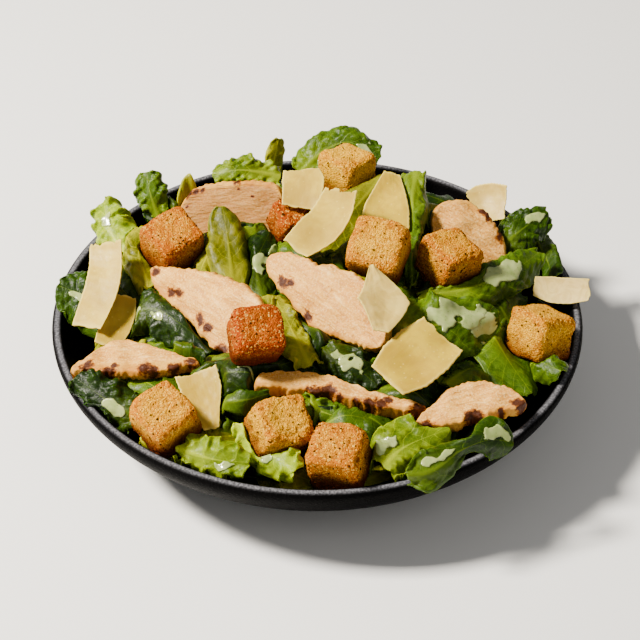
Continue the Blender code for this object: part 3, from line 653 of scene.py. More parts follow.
def make_toast_effect():
    """Toasted crumb: grains of their own shades, browner between them, along the edges and in patches, darker
    towards the bottom as toasting and painted shade, with painted shade in its pits, and the palest grains
    partly their own colour and partly painted glints.
    """
    nodes, given, out = effect(
        "Toasted Crumb",
        {"Pale": (0.76, 0.32, 0.004), "Golden": (0.5, 0.13, 0.001), "Brown": (0.1, 0.015, 0.0005),
         "Toast": 0.4},
        {"Colour": "NodeSocketColor", "Roughness": "NodeSocketFloat", "Height": "NodeSocketFloat"})
    place = nodes.place()
    relief, corner = nodes.attribute("relief"), nodes.attribute("corner")
    mottle = use_effect(nodes, "Mottle", {"Coarse": 150.0, "Fine": 1900.0})
    low = nodes.attribute("low")
    browned = nodes.plus(nodes.times(mottle["Cloud"], 0.6), nodes.times(corner, 0.8))
    browned = nodes.plus(browned, nodes.minus(given["Toast"], 0.45), True)
    colour = nodes.mix(browned, given["Pale"], given["Golden"])
    wander = nodes.add("ShaderNodeTexNoise", {"Vector": place, "Scale": 700.0, "Detail": 2.0})
    swing = nodes.add("ShaderNodeVectorMath", {0: wander.outputs["Color"], "Scale": 0.8 * MM},
                      operation="SCALE")
    bent = nodes.add("ShaderNodeVectorMath", {0: place, 1: swing.outputs[0]}, operation="ADD")
    crumbs = nodes.add("ShaderNodeTexVoronoi", {"Vector": bent.outputs[0], "Scale": 1700.0})
    shade = nodes.add("ShaderNodeSeparateColor", {"Color": crumbs.outputs["Color"]}).outputs[0]
    colour = nodes.mix(nodes.ramp(shade, 0.5, 1.0, 0.0, 0.6), colour, given["Pale"])
    # The palest grains: partly their own paler crumb, partly painted glints.
    colour = nodes.mix(nodes.ramp(shade, 0.8, 0.96, 0.0, 0.45), colour, (1.0, 0.66, 0.12))
    colour = nodes.mix(nodes.ramp(shade, 0.0, 0.4, 0.4, 0.0), colour, given["Brown"])
    gaps = nodes.ramp(crumbs.outputs["Distance"], 0.3, 0.8, 0.0, 0.36)
    colour = nodes.mix(gaps, colour, given["Brown"])
    scorch_and_underside_shade = nodes.ramp(nodes.noise(place, 300, 4, 0.65), 0.55, 0.75, 0.0, 0.8)
    scorch_and_underside_shade = nodes.times(scorch_and_underside_shade, nodes.plus(given["Toast"], 0.2, True))
    # The lower part of each crouton is browned: partly a toasted underside, partly painted shade under it.
    scorch_and_underside_shade = nodes.plus(scorch_and_underside_shade, nodes.times(low, 0.95), True)
    colour = nodes.mix(scorch_and_underside_shade, colour, given["Brown"])
    # Painted shade: the lowest parts of the crust's relief, its pits, are browned.
    pores = nodes.ramp(relief, -0.9, -0.1, 0.5, 0.0)
    colour = nodes.mix(pores, colour, given["Brown"])
    height = nodes.plus(nodes.times(mottle["Grain"], 0.6), nodes.times(gaps, -1.2))
    nodes.put_all(out, {"Colour": colour, "Roughness": nodes.ramp(mottle["Grain"], 0.3, 0.7, 0.55, 0.85),
                        "Height": height})


def crouton_finish(name, toast, redness):
    """The toasted bread of one crouton: how dark and how red it is."""
    material, nodes, shader = new_finish(name)
    golden = (0.66 - 0.3 * redness, 0.05 + 0.2 * (1 - redness) ** 1.3, 0.0002)
    pale = (0.88 - 0.38 * redness, 0.46 - 0.33 * redness, 0.001)
    made = use_effect(nodes, "Toasted Crumb", {"Toast": toast, "Golden": golden, "Pale": pale})
    normal = nodes.bump(made["Height"], 1.0, 0.75 * MM)
    soft = (0.1, (1.0, 0.5, 0.2), 1.0 * MM)
    link_finish(nodes, shader, made["Colour"], made["Roughness"], normal, 0.05, soft)
    return material


def chicken_finish(name, shade_and_browning):
    """Cooked chicken breast: a pale fibrous cut face, darker by a share as browning and painted shade, a tan
    rind and grill marks.
    """
    material, nodes, shader = new_finish(name)
    place = nodes.place()
    fibres = nodes.noise(nodes.own_place(6, 30, 0.45), 1.0, 4, 0.6, 0.7)
    mottle = use_effect(nodes, "Mottle", {"Coarse": 110.0, "Fine": 1300.0})
    meat = nodes.mix(mottle["Cloud"], (0.62, 0.275, 0.034), (0.81, 0.41, 0.075))
    meat = nodes.mix(nodes.ramp(fibres, 0.47, 0.64, 0.0, 0.65), meat, (0.5, 0.2, 0.03))
    meat = nodes.mix(nodes.ramp(fibres, 0.3, 0.44, 0.55, 0.0), meat, (0.92, 0.6, 0.22))
    # Paler grains of the cut face: partly the meat's own fleck, partly painted glints.
    meat = nodes.mix(nodes.ramp(mottle["Grain"], 0.5, 0.64, 0.0, 0.4), meat, (1.0, 0.72, 0.3))
    meat = nodes.mix(nodes.ramp(mottle["Grain"], 0.34, 0.48, 0.3, 0.0), meat, (0.42, 0.17, 0.02))
    meat = nodes.mix(nodes.ramp(nodes.noise(place, 800, 3, 0.7), 0.6, 0.68, 0.0, 0.6), meat, (0.3, 0.1, 0.01))
    # Painted shade: the whole slice is darkened by this share, partly as browning.
    meat = nodes.mix(shade_and_browning, meat, (0.2, 0.075, 0.012))
    meat = nodes.mix(nodes.ramp(nodes.attribute("rim"), 0.35, 1.0, 0.0, 0.5), meat, (0.6, 0.28, 0.025))
    wall = nodes.attribute("wall")
    meat = nodes.mix(nodes.times(wall, 0.55), meat, (0.62, 0.28, 0.03))
    ragged = nodes.times(nodes.minus(nodes.noise(place, 480, 6, 0.78), 0.5), 2.6)
    worn = nodes.times(ragged, 0.6)
    skin = nodes.ramp(nodes.plus(nodes.attribute("rind"), worn), 0.3, 0.9, 0.0, 0.85)
    browned = nodes.mix(mottle["Cloud"], (0.48, 0.18, 0.01), (0.7, 0.36, 0.05))
    colour = nodes.mix(skin, meat, browned)
    faded = nodes.minus(nodes.attribute("scorch"), nodes.times(wall, 0.35))
    scorch = nodes.plus(faded, ragged)
    colour = nodes.mix(nodes.ramp(scorch, -0.1, 0.2, 0.0, 0.85), colour, (0.3, 0.075, 0.002))
    colour = nodes.mix(nodes.ramp(scorch, 0.1, 0.45, 0.0, 0.96), colour, (0.04, 0.007, 0.0005))
    roughness = nodes.ramp(mottle["Grain"], 0.3, 0.7, 0.36, 0.6)
    normal = nodes.bump(nodes.minus(nodes.times(mottle["Grain"], 0.25), fibres), 1.0, 1.0 * MM)
    link_finish(nodes, shader, colour, roughness, normal, 0.18, (0.12, (1.0, 0.45, 0.25), 1.0 * MM))
    return material


def shaving_finish(name, pallor):
    """Hard cheese: straw, paler by a share, a little waxy, with faint strokes of the peeler and crystals."""
    material, nodes, shader = new_finish(name)
    place = nodes.place()
    stroke = nodes.noise(nodes.own_place(2, 14), 1.0, 3, 0.5, 0.3)
    mottle = use_effect(nodes, "Mottle", {"Coarse": 70.0, "Fine": 1100.0})
    colour = nodes.mix(mottle["Cloud"], (0.4, 0.255, 0.006), (0.58, 0.4, 0.02))
    colour = nodes.mix(nodes.ramp(stroke, 0.4, 0.7, 0.0, 0.14), colour, (0.6, 0.44, 0.07))
    colour = nodes.mix(pallor, colour, (0.8, 0.63, 0.28))
    crystals = nodes.ramp(nodes.cells(place, 380), 0.06, 0.2, 0.45, 0.0)
    colour = nodes.mix(crystals, colour, (0.8, 0.64, 0.16))
    clear = nodes.ramp(nodes.noise(place, 130, 3, 0.6, 1.5), 0.42, 0.6, 0.35, 0.0)
    colour = nodes.mix(clear, colour, (0.42, 0.26, 0.02))
    colour = nodes.mix(nodes.ramp(nodes.attribute("rim"), 0.88, 0.98, 0.0, 0.6), colour, (0.75, 0.58, 0.13))
    roughness = nodes.ramp(mottle["Grain"], 0.3, 0.7, 0.4, 0.58)
    height = nodes.plus(nodes.times(stroke, 0.6), nodes.times(mottle["Grain"], 0.35))
    normal = nodes.bump(height, 0.35, 0.3 * MM)
    link_finish(nodes, shader, colour, roughness, normal, 0.3, (0.35, (1.0, 0.7, 0.3), 2.0 * MM))
    return material


def dressing_finish():
    """Creamy dressing: glossy off-white, a little green where it lies thin."""
    material, nodes, shader = new_finish("Creamy Dressing")
    mottle = use_effect(nodes, "Mottle", {"Coarse": 260.0, "Fine": 1500.0})
    thin = nodes.ramp(nodes.attribute("depth"), 0.0, 0.7, 1.0, 0.0)
    colour = nodes.mix(mottle["Cloud"], (0.27, 0.35, 0.1), (0.4, 0.46, 0.17))
    colour = nodes.mix(nodes.times(thin, 0.6), colour, (0.16, 0.2, 0.03))
    flecks = nodes.ramp(nodes.cells(nodes.place(), 520), 0.1, 0.17, 0.6, 0.0)
    colour = nodes.mix(flecks, colour, (0.12, 0.14, 0.02))
    roughness = nodes.ramp(mottle["Grain"], 0.3, 0.7, 0.14, 0.24)
    normal = nodes.bump(mottle["Cloud"], 0.1, 0.3 * MM)
    link_finish(nodes, shader, colour, roughness, normal, 0.5, (0.3, (1.0, 0.9, 0.6), 1.5 * MM))
    clear = nodes.ramp(nodes.attribute("depth"), 0.3, 1.0, 0.05, 0.92)
    nodes.put_all(shader, {"Alpha": clear, "Coat Weight": 0.4, "Coat Roughness": 0.1})
    return material


def bowl_finish():
    """Matt black stoneware, pebbled all over, with pale specks painted along the top of its rim as a
    highlight.
    """
    settings = bpy.context.scene.salad_bowl
    material, nodes, shader = new_finish("Black Stoneware")
    place = nodes.place()
    mottle = use_effect(nodes, "Mottle", {"Coarse": 60.0, "Fine": 1100.0})
    pebbles = nodes.ramp(nodes.cells(place, 900), 0.05, 0.6, 1.0, 0.0)
    # Painted highlight: pale specks mixed in along the very top of the rim, where it also turns a little
    # glossier.
    rubbed = nodes.times(nodes.attribute("rubbed"), nodes.ramp(mottle["Grain"], 0.35, 0.7, 0.3, 1.0))
    paler = tuple(1.7 * value for value in settings.colour)
    colour = nodes.mix(mottle["Cloud"], tuple(settings.colour), paler)
    colour = nodes.mix(nodes.times(rubbed, 0.5), colour, tuple(settings.highlight_colour))
    rough = nodes.plus(nodes.times(mottle["Grain"], 0.25), settings.roughness - 0.12)
    height = nodes.plus(nodes.times(pebbles, 0.7), nodes.times(mottle["Grain"], 0.6))
    worn = nodes.minus(rough, nodes.times(rubbed, 0.12))
    link_finish(nodes, shader, colour, worn, nodes.bump(height, 0.55, 0.4 * MM), 0.012)
    return material


def fleck_finish():
    """Cracked black pepper and dried herbs."""
    material, nodes, shader = new_finish("Pepper And Herb")
    kinds = nodes.noise(nodes.place(), 150, 2)
    colour = nodes.mix(nodes.ramp(kinds, 0.5, 0.62), (0.035, 0.009, 0.002), (0.05, 0.025, 0.004))
    grain = nodes.noise(nodes.place(), 3000, 2)
    roughness = nodes.ramp(grain, 0.3, 0.7, 0.5, 0.75)
    link_finish(nodes, shader, colour, roughness, nodes.bump(grain, 0.4, 0.1 * MM), 0.05)
    return material


# The bowl.

def bezier(t, points):
    """A point on the cubic curve through four control points."""
    a, b, c, d = (Vector(point) for point in points)
    return (1 - t) ** 3 * a + 3 * (1 - t) ** 2 * t * b + 3 * (1 - t) * t * t * c + t ** 3 * d


def outer_wall(t):
    """Radius and height down the outside of the bowl, from the rim at 0 to the foot at 1."""
    return bezier(t, ((BOWL_RADIUS, BOWL_HEIGHT - LIP_HEIGHT), (BOWL_RADIUS, 0.72 * BOWL_HEIGHT),
                      (0.8 * BOWL_RADIUS, 0.15 * BOWL_HEIGHT), (FOOT_RADIUS, 0)))


def inner_wall(t):
    """Radius and height up the inside of the bowl, from the floor's edge at 0 to the rim at 1."""
    return bezier(t, ((FOOT_RADIUS, FLOOR), (0.76 * BOWL_RADIUS, FLOOR + 0.1 * BOWL_HEIGHT),
                      (BOWL_RADIUS - 1.1 * WALL, 0.72 * BOWL_HEIGHT),
                      (BOWL_RADIUS - WALL, BOWL_HEIGHT - LIP_HEIGHT)))


INNER_CURVE = np.array([inner_wall(i / 60) for i in range(61)])


def bowl_surface(radius):
    """How high the bowl stands at these radii, its rim taken a little wide."""
    inside = np.interp(radius, INNER_CURVE[:, 0], INNER_CURVE[:, 1])
    height = np.where(radius >= BOWL_RADIUS - WALL, BOWL_HEIGHT, np.maximum(inside, FLOOR))
    return np.where(radius >= BOWL_RADIUS + 2.5 * MM, 0, height)


def make_bowl_mesh(steps):
    """The bowl's profile, up the inside, over the lip and down the outside to a foot ring, turned round."""
    profile = [Vector((0, FLOOR)), Vector((0.5 * FOOT_RADIUS, FLOOR))]
    profile += [inner_wall(i / WALL_STEPS) for i in range(WALL_STEPS + 1)]
    for i in range(1, LIP_STEPS):
        turn = math.pi * i / LIP_STEPS
        across = BOWL_RADIUS - WALL / 2 - WALL / 2 * math.cos(turn)
        profile.append(Vector((across, BOWL_HEIGHT - LIP_HEIGHT + LIP_HEIGHT * math.sin(turn))))
    profile += [outer_wall(i / WALL_STEPS) for i in range(WALL_STEPS + 1)]
    foot = 0.93 * FOOT_RADIUS
    profile += [Vector((foot, 0)), Vector((foot - MM, 1.2 * MM)), Vector((0, 1.2 * MM))]
    radii, heights = np.array(profile).T
    turns = np.arange(steps) * math.tau / steps
    points = np.stack([np.outer(np.cos(turns), radii), np.outer(np.sin(turns), radii),
                       np.tile(heights, (steps, 1))], -1)
    here = np.arange(steps * len(profile)).reshape(steps, -1)
    after = np.roll(here, -1, axis=0)
    faces = np.stack([here[:, :-1], after[:, :-1], after[:, 1:], here[:, 1:]], -1)
    mesh = bpy.data.meshes.new("bowl_black")
    mesh.from_pydata(points.reshape(-1, 3).tolist(), [], faces.reshape(-1, 4).tolist())
    shape = shape_of(mesh)
    bmesh.ops.remove_doubles(shape, verts=shape.verts, dist=0.01 * MM)
    bmesh.ops.recalc_face_normals(shape, faces=shape.faces)
    filled(mesh, shape)
    # The very top of the lip is marked for the painted highlight along the rim.
    rubbed = smooth_step(BOWL_HEIGHT - 0.4 * MM, BOWL_HEIGHT, points_of(mesh)[:, 2])
    keep_values(mesh, {"rubbed": rubbed})
    mesh.shade_smooth()
    mesh.set_sharp_from_angle(angle=math.radians(50))
    return mesh


# The toppings.

def crouton_mesh(name, place, turn, edge, craggy, seed, cuts):
    """A toasted cube of bread: rounded and uneven, with crags, pores and grains of crumb."""
    shape = bmesh.new()
    bmesh.ops.create_cube(shape, size=2)
    bmesh.ops.subdivide_edges(shape, edges=shape.edges[:], cuts=cuts, use_grid_fill=True)
    mesh = filled(bpy.data.meshes.new(name), shape)
    rng = random.Random(seed)
    stretch = np.array([rng.uniform(0.92, 1.06) for _ in range(3)])
    offset = Vector([rng.uniform(0, 50) for _ in range(3)])
    cube = points_of(mesh)
    squareness = 7
    spread = (np.abs(cube) ** squareness).sum(1) ** (1 / squareness)
    uneven = np.array([noise.noise(Vector(point) * 1.3 + offset) for point in cube])
    body = cube * stretch / spread[:, None] * (1 + 0.09 * uneven)[:, None] * edge / 2
    outward = normalised(cube ** 5 / np.abs(cube ** 5).max(1, keepdims=True) + 0.25 * cube)
    crags = np.array([noise.fractal(Vector(point) / CRAG + offset, 0.7, 2.1, 4) for point in body])
    granules = np.array([noise.voronoi(Vector(point) / CRUMB + offset)[0][0] for point in body])
    pores = np.array([noise.voronoi(Vector(point) / PORE + offset)[0][0] for point in body])
    pits = 1 - smooth_step(0.1, 0.34, pores + 0.1 * crags)
    relief = 0.95 * craggy * crags + 0.7 * (0.45 - granules) - 0.9 * craggy * pits
    body += outward * (relief * 0.6 * MM)[:, None]
    corner = smooth_step(1.3, 2.1, (np.abs(cube) ** 2).sum(1))
    turned = body @ np.array(Euler([math.radians(angle) for angle in turn]).to_matrix()).T
    move_points(mesh, turned + np.array(place) * MM)
    # Darker towards the bottom: partly a toasted underside, partly painted shade under the crouton.
    low = smooth_step(0.55, -0.65, turned[:, 2] / (edge / 2))
    keep_values(mesh, {"relief": relief, "corner": corner, "low": low})
    mesh.shade_smooth()
    return mesh


def chicken_mesh(name, first, second, edge, uppers, lowers, thickness, bend, rind_side, rind_reach,
                 scorches, seed):
    """A slice of chicken breast: an uneven cut face with faint fibres, and a browned rind along one edge."""
    first, second, edge = (np.array(point) * MM for point in (first, second, edge))
    share, side = share_and_side(*CHICKEN_GRID)
    side = np.sin(side * math.pi / 2) * 0.35 + side * 0.65
    length = np.linalg.norm(second - first)
    ahead = (second - first) / length
    to_edge = edge - (first + second) / 2
    across = normalised(to_edge - to_edge.dot(ahead) * ahead)
    face = np.cross(ahead, across)
    run = share[..., None] * length
    ragged = [0.5 * ripples(run, 9 * MM, seed + i) + 0.25 * ripples(run, 3 * MM, seed + 2 + i)
              for i in (0, 1)]
    upper, lower = outline(uppers, share) + ragged[0], outline(lowers, share) + ragged[1]
    from_end = np.minimum(share, 1 - share) * length
    tip = quarter_circle(1 - np.clip(from_end / (2.5 * MM), 0.05, 1))
    span = np.maximum(upper + lower, 1.5) * MM * tip
    height = (upper - lower) / 2 * MM + side * span / 2
    bow = bend * MM * np.sin(math.pi * share) * (1 - side * side)
    surface = first + (second - first) * share[..., None] + across * height[..., None] + face * bow[..., None]
    flat = np.stack([share * length, height], -1)
    grain = np.stack([flat[..., 0] * 0.4 + flat[..., 1] * 0.25, flat[..., 1] - 0.3 * flat[..., 0]], -1)
    uneven = 0.55 * ripples(flat, 13 * MM, seed + 4) + 0.05 * ripples(grain, 2.4 * MM, seed + 5, 16)
    uneven += 0.05 * ripples(flat, 1.1 * MM, seed + 6, 16)
    from_rim = np.minimum((1 - np.abs(side)) * span / 2, from_end)
    rounding = 1.0 * MM * (1 - quarter_circle(1 - from_rim / (1.5 * MM)))
    top = surface + face * (uneven * MM * smooth_step(0, 2 * MM, from_rim) - rounding)[..., None]
    skirt = 0.5 * ripples(flat, 5 * MM, seed + 7, 12) + 0.25 * ripples(flat, 2 * MM, seed + 8, 12)
    drawn_in = smooth_step(3 * MM, 0, from_rim) * (0.9 + skirt) * MM
    centre = first + (second - first) * share[..., None] * 0.96
    inward = normalised(centre + across * ((upper - lower) / 2 * MM)[..., None] - surface)
    under = surface + inward * drawn_in[..., None] - face * (thickness * MM - rounding)[..., None]
    scorch = np.full_like(share, -1)
    for place, level, radius in scorches:
        apart = np.hypot((share - place) * length / 1.3, (side - level) * span / 2)
        scorch = np.maximum(scorch, 1 - apart / (radius * MM))
    from_rind = (1 - rind_side * side) * span / 2
    rind = 1 - smooth_step(0.2 * rind_reach * MM, 1.2 * rind_reach * MM, from_rind)
    rim = 1 - smooth_step(0, 1.6 * MM, from_rim)
    coordinates = flat / length
    return shell(name, top, under, coordinates, {"rim": rim, "rind": rind, "scorch": scorch}, 8, 0.6 * MM)


def shaving_mesh(name, points, facing, half_widths, bow, first_ragged, last_ragged, thickness, seed):
    """A thin shaving of hard cheese, torn at its ends and faintly waved."""
    points = np.array(points) * MM
    length = curve_length(points)
    widest = max(half_widths) * MM
    share, side = share_and_side(*SHAVING_GRID)
    tears = np.stack([side * widest, 0 * side], -1)
    for end, ragged in ((0, first_ragged), (1, last_ragged)):
        torn = 0.6 * ripples(tears, 7 * MM, seed + 20 + end)
        torn = torn + 0.4 * np.abs(ripples(tears, 2.3 * MM, seed + 30 + end))
        near = smooth_step(0.75, 1, share if end else 1 - share)
        share = share + (1 - 2 * end) * near * (torn + 0.25) * ragged * 0.7 * MM / length
    share = np.clip(share, 0, 1)
    steps = np.linspace(0, 1, len(half_widths))
    nicked = 1 + 0.012 * ripples(share[..., None], 0.08, seed + 40)
    width = np.interp(share, steps, half_widths) * MM * nicked
    surface, _, upward = strip(points, facing, width, bow, share, side)
    flat = np.stack([share * length, side * widest], -1)
    waves = 0.5 * MM * ripples(flat, 22 * MM, seed + 50) + 0.06 * MM * ripples(flat, 5 * MM, seed + 51)
    upper = surface + upward * waves[..., None]
    rim = np.maximum(np.abs(side), np.abs(2 * share - 1))
    uneven = 1 + 0.2 * ripples(flat, 15 * MM, seed + 52)
    thinned = thickness * (1 - 0.35 * smooth_step(0.8, 1, rim)) * uneven
    under = upper - upward * thinned[..., None]
    return shell(name, upper, under, np.stack([share, side / 2 + 0.5], -1), {"rim": rim}, 2)


# The leaves.

class Covered:
    """The solids that lie on a leaf, as one surface that is looked for from below."""

    def __init__(self):
        self.points = []
        self.faces = []
        self.tree = None

    def add(self, *nodes):
        """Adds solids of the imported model."""
        for node in nodes:
            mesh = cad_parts[node].data
            start = len(self.points)
            self.points += [point.co.copy() for point in mesh.vertices]
            self.faces += [[start + i for i in face.vertices] for face in mesh.polygons]
        self.tree = BVHTree.FromPolygons(self.points, self.faces)

    def underside(self, x, y, reach):
        """The lowest height of any solid within reach of this place, or None."""
        lowest = None
        for i in range(LOOKS + 1):
            turn = math.tau * i / LOOKS
            across = reach if i < LOOKS else 0
            start = Vector((x + across * math.cos(turn), y + across * math.sin(turn), -1))
            hit = self.tree.ray_cast(start, Vector((0, 0, 1)))[0]
            if hit and (lowest is None or hit.z < lowest):
                lowest = hit.z
        return lowest

    def press(self, surface, gap, reach=1.2 * MM):
        """A grid of points pushed down until it is clear of what lies on it, without a sharp step."""
        drop = np.zeros(surface.shape[:2])
        for index in np.ndindex(drop.shape):
            x, y, z = surface[index]
            lowest = self.underside(x, y, reach)
            if lowest is not None:
                drop[index] = max(0, z - lowest + gap)
        eased = drop
        for _ in range(EASINGS):
            eased = np.maximum(eased, blurred(eased))
        pressed = surface.copy()
        pressed[..., 2] -= eased
        floor = bowl_surface(np.hypot(surface[..., 0], surface[..., 1]) + MM) + ABOVE_BOWL
        pressed[..., 2] = np.maximum(pressed[..., 2], np.minimum(floor, surface[..., 2] + MOST_RAISED))
        return pressed


class Leaf:
    """One piece of romaine: its grid of points, the veins on it, and the mesh made from them."""

    def __init__(self, points, facing, half_width, curl, ruffle, ruffles, crinkle, fold, seed, rows, columns):
        self.points = np.array(points, float) * MM
        self.length = curve_length(self.points)
        self.half_width = (max(half_width) if isinstance(half_width, tuple) else half_width) * MM
        self.crinkle = crinkle * MM
        self.seed = seed
        share, side = share_and_side(rows, columns)
        torn = 0.05 * ripples(side[..., None], 0.9, seed) * smooth_step(0.4, 0, share)
        self.share, self.side = np.clip(share + torn, 0, 1), side
        tip = quarter_circle((share - 0.86) / 0.145)
        if isinstance(half_width, tuple):
            width = outline(half_width, self.share) * MM
        else:
            width = self.half_width * np.sin(math.pi * (0.2 + 0.66 * self.share)) ** 0.6
        width = width * tip ** 0.6 * (1 + 0.07 * ripples(np.stack([share, np.sign(side)], -1), 0.3, seed + 1))
        surface, ahead, upward = strip(self.points, facing, width, math.radians(-curl), self.share, side)
        bent = share + 0.03 * ripples(share[..., None], 0.35, seed + 8)
        phase = math.tau * 0.8 * ruffles * bent + seed + 2 * side
        wave = np.sign(np.sin(phase)) * np.abs(np.sin(phase)) ** 0.7
        frill = np.sin(math.tau * 1.9 * ruffles * bent + 2.3 * seed + 3 * side)
        edge = np.abs(side)
        drawn_out = np.stack([0.4 * share * self.length, side * self.half_width], -1)
        folds = ripples(drawn_out, FOLD_SPACING, seed + 7, 12)
        lift = ruffle * MM * (edge ** 1.6 * wave + 0.22 * edge ** 4 * frill)
        lift += fold * MM * folds * (0.35 + 0.65 * edge) - 0.7 * MM * smooth_step(0.82, 1, edge)
        lean = 0.35 * ruffle * MM * edge ** 3 * np.cos(phase)
        self.surface = surface + upward * lift[..., None] + ahead * lean[..., None]
        self.across = side * width
        self.milk = np.zeros_like(share)

    def finish_relief(self):
        """Works out the veins and the puckered blade between them."""
        self.normals = grid_normals(self.surface)
        if self.normals[..., 2].mean() < 0:
            self.normals = -self.normals
        x, y = self.share * self.length, np.abs(self.across)
        place = np.stack([x, self.across], -1)
        bend = ripples(place, 14 * MM, self.seed + 2)
        self.vein = (x - 0.9 * y) / VEIN_SPACING + 0.25 * bend + 0.37 * self.seed
        self.net = (x + 1.3 * y) / NET_SPACING + 0.4 * ripples(place, 9 * MM, self.seed + 3)
        puffed = 0.6 * np.abs(np.sin(math.pi * self.vein)) ** 0.7
        puffed = puffed + 0.4 * np.abs(np.sin(math.pi * self.net)) ** 0.7
        puffed = puffed - 0.55 + 0.3 * ripples(place, PUCKER, self.seed + 4)
        near_rib = smooth_step(0.8 * MM, 3.5 * MM, y)
        self.relief = puffed * near_rib
        self.raised = self.crinkle * self.relief

    def mesh(self, name, thickness, rib):
        """The leaf as a closed skin, thicker along its rib."""
        y = np.abs(self.across)
        stem = np.maximum(1 - 1.2 * self.share, 0.1)
        ridge = rib * MM * stem * np.exp(-(y / (1.1 * rib * MM * stem + 0.3 * MM)) ** 2)
        upper = self.surface + self.normals * (self.raised + 0.25 * ridge)[..., None]
        under = upper - self.normals * (thickness + 1.2 * ridge)[..., None]
        # The margin and the tip, where a pale rim is painted, partly as a highlight.
        edge = np.maximum(np.abs(self.side), smooth_step(0.9, 1, self.share))
        values = {"share": self.share, "from_rib": y / MM, "vein": self.vein, "net": self.net,
                  "relief": self.relief, "milk": self.milk, "edge": edge}
        coordinates = np.stack([self.share, self.side / 2 + 0.5], -1)
        return shell(name, upper, under, coordinates, values)

    def at(self, values, share, side):
        """The values of one of the leaf's grids at other shares, by straight lines between its points."""
        rows, columns = values.shape[:2]
        row, column = np.clip(share, 0, 1) * (rows - 1), np.clip(side / 2 + 0.5, 0, 1) * (columns - 1)
        i, j = np.minimum(row.astype(int), rows - 2), np.minimum(column.astype(int), columns - 2)
        u, v = row - i, column - j
        if values.ndim == 3:
            u, v = u[..., None], v[..., None]
        return ((1 - u) * (1 - v) * values[i, j] + u * (1 - v) * values[i + 1, j]
                + (1 - u) * v * values[i, j + 1] + u * v * values[i + 1, j + 1])

    def pool(self, name, share, side, length, width, depth, seed):
        """A pool of dressing on the leaf: it lies level over the pucker, which stands out of it in places."""
        reach_along = length * MM / 2 / self.length
        reach_across = width * MM / 2 / self.half_width
        steps = [np.linspace(-POOL_MARGIN, POOL_MARGIN, int(2.2 * size) + 14) for size in (length, width)]
        u, v = np.meshgrid(*steps, indexing="ij")
        place = np.stack([u * length / 2, v * width / 2], -1) * MM
        swell = 1 - u * u - v * v + 0.5 * ripples(place, (3 + 0.28 * length) * MM, seed)
        swell += 0.16 * ripples(place, (1.5 + 0.12 * length) * MM, seed + 1)
        swell -= 1.6 * smooth_step(0.65, 1.2, ripples(place, 8 * MM, seed + 2))
        height = np.where(swell > 0, quarter_circle(1 - swell / 0.35), 2 * swell)
        at_share, at_side = share + u * reach_along, side + v * reach_across
        inside = (at_share > 0.01) & (at_share < 0.97) & (np.abs(at_side) < 0.96)
        height = np.where(inside, height, -1)
        base = self.at(self.surface, at_share, at_side)
        normals = normalised(self.at(self.normals, at_share, at_side))
        level = self.at(blurred(blurred(self.raised)), at_share, at_side) * 0.6
        over = level + np.maximum(height * 0.65 * depth * MM, -0.9 * MM)
        upper = base + normals * over[..., None]
        under = base + normals * (level - MM)[..., None]
        mesh = shell(name, upper, under, np.stack([u, v], -1), {"depth": np.maximum(height, 0)})
        shape = shape_of(mesh)
        depths = shape.verts.layers.float["depth"]
        outside = [face for face in shape.faces if max(corner[depths] for corner in face.verts) <= 0]
        bmesh.ops.delete(shape, geom=outside, context="FACES")
        holes = [edge for edge in shape.edges if edge.is_boundary]
        bmesh.ops.holes_fill(shape, edges=holes)
        bmesh.ops.recalc_face_normals(shape, faces=shape.faces)
        filled(mesh, shape).shade_smooth()
        film_along = (self.share - share) / (1.3 * reach_along)
        film_across = (self.side - side) / (1.3 * reach_across)
        self.milk = np.maximum(self.milk, 0.6 * (1 - (film_along ** 2 + film_across ** 2)))
        return mesh


def heap_height(tree, x, y):
    """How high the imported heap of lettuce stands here, or None beyond its edge."""
    hit = tree.ray_cast(Vector((x, y, 1)), Vector((0, 0, -1)))[0]
    return hit.z if hit else None


def bed_leaves(tree, count, seed):
    """The torn leaves that fill the bowl between and below the larger ones, the middle ones first."""
    rng = random.Random(seed)
    golden = math.pi * (3 - math.sqrt(5))
    for i in range(count):
        radius = BED_RADIUS * math.sqrt((i + 0.5) / count)
        turn = i * golden + rng.uniform(-0.2, 0.2)
        middle = Vector((radius * math.cos(turn), radius * math.sin(turn)))
        heading = turn + math.pi / 2 + rng.uniform(-1.1, 1.1)
        length = rng.uniform(26, 42) * MM
        ahead = Vector((math.cos(heading), math.sin(heading)))
        spine = []
        for step in (-0.5, 0, 0.5):
            x, y = middle + ahead * length * step
            height = heap_height(tree, x, y)
            if height is None:
                x, y = x * 0.9, y * 0.9
                height = heap_height(tree, x, y) or HEAP_EDGE
            lift = rng.uniform(0, 2) if step else rng.uniform(1, 3)
            spine.append((x / MM, y / MM, height / MM + lift))
        lean = Vector((math.cos(turn), math.sin(turn))) * rng.uniform(-0.1, 0.7)
        facing = (lean.x + rng.uniform(-0.3, 0.3), lean.y + rng.uniform(-0.3, 0.3), 0.9)
        half_width = rng.uniform(8, 13)
        shape = (spine, facing, half_width, rng.uniform(20, 50), rng.uniform(1, 2.5), rng.randint(3, 5))
        tone = rng.choice(("young", "bright", "bright", "green", "green", "green", "dark"))
        yield shape, tone, rng.uniform(0.4, 1.2), rng.uniform(0.6, 1.2)


# What is scattered.

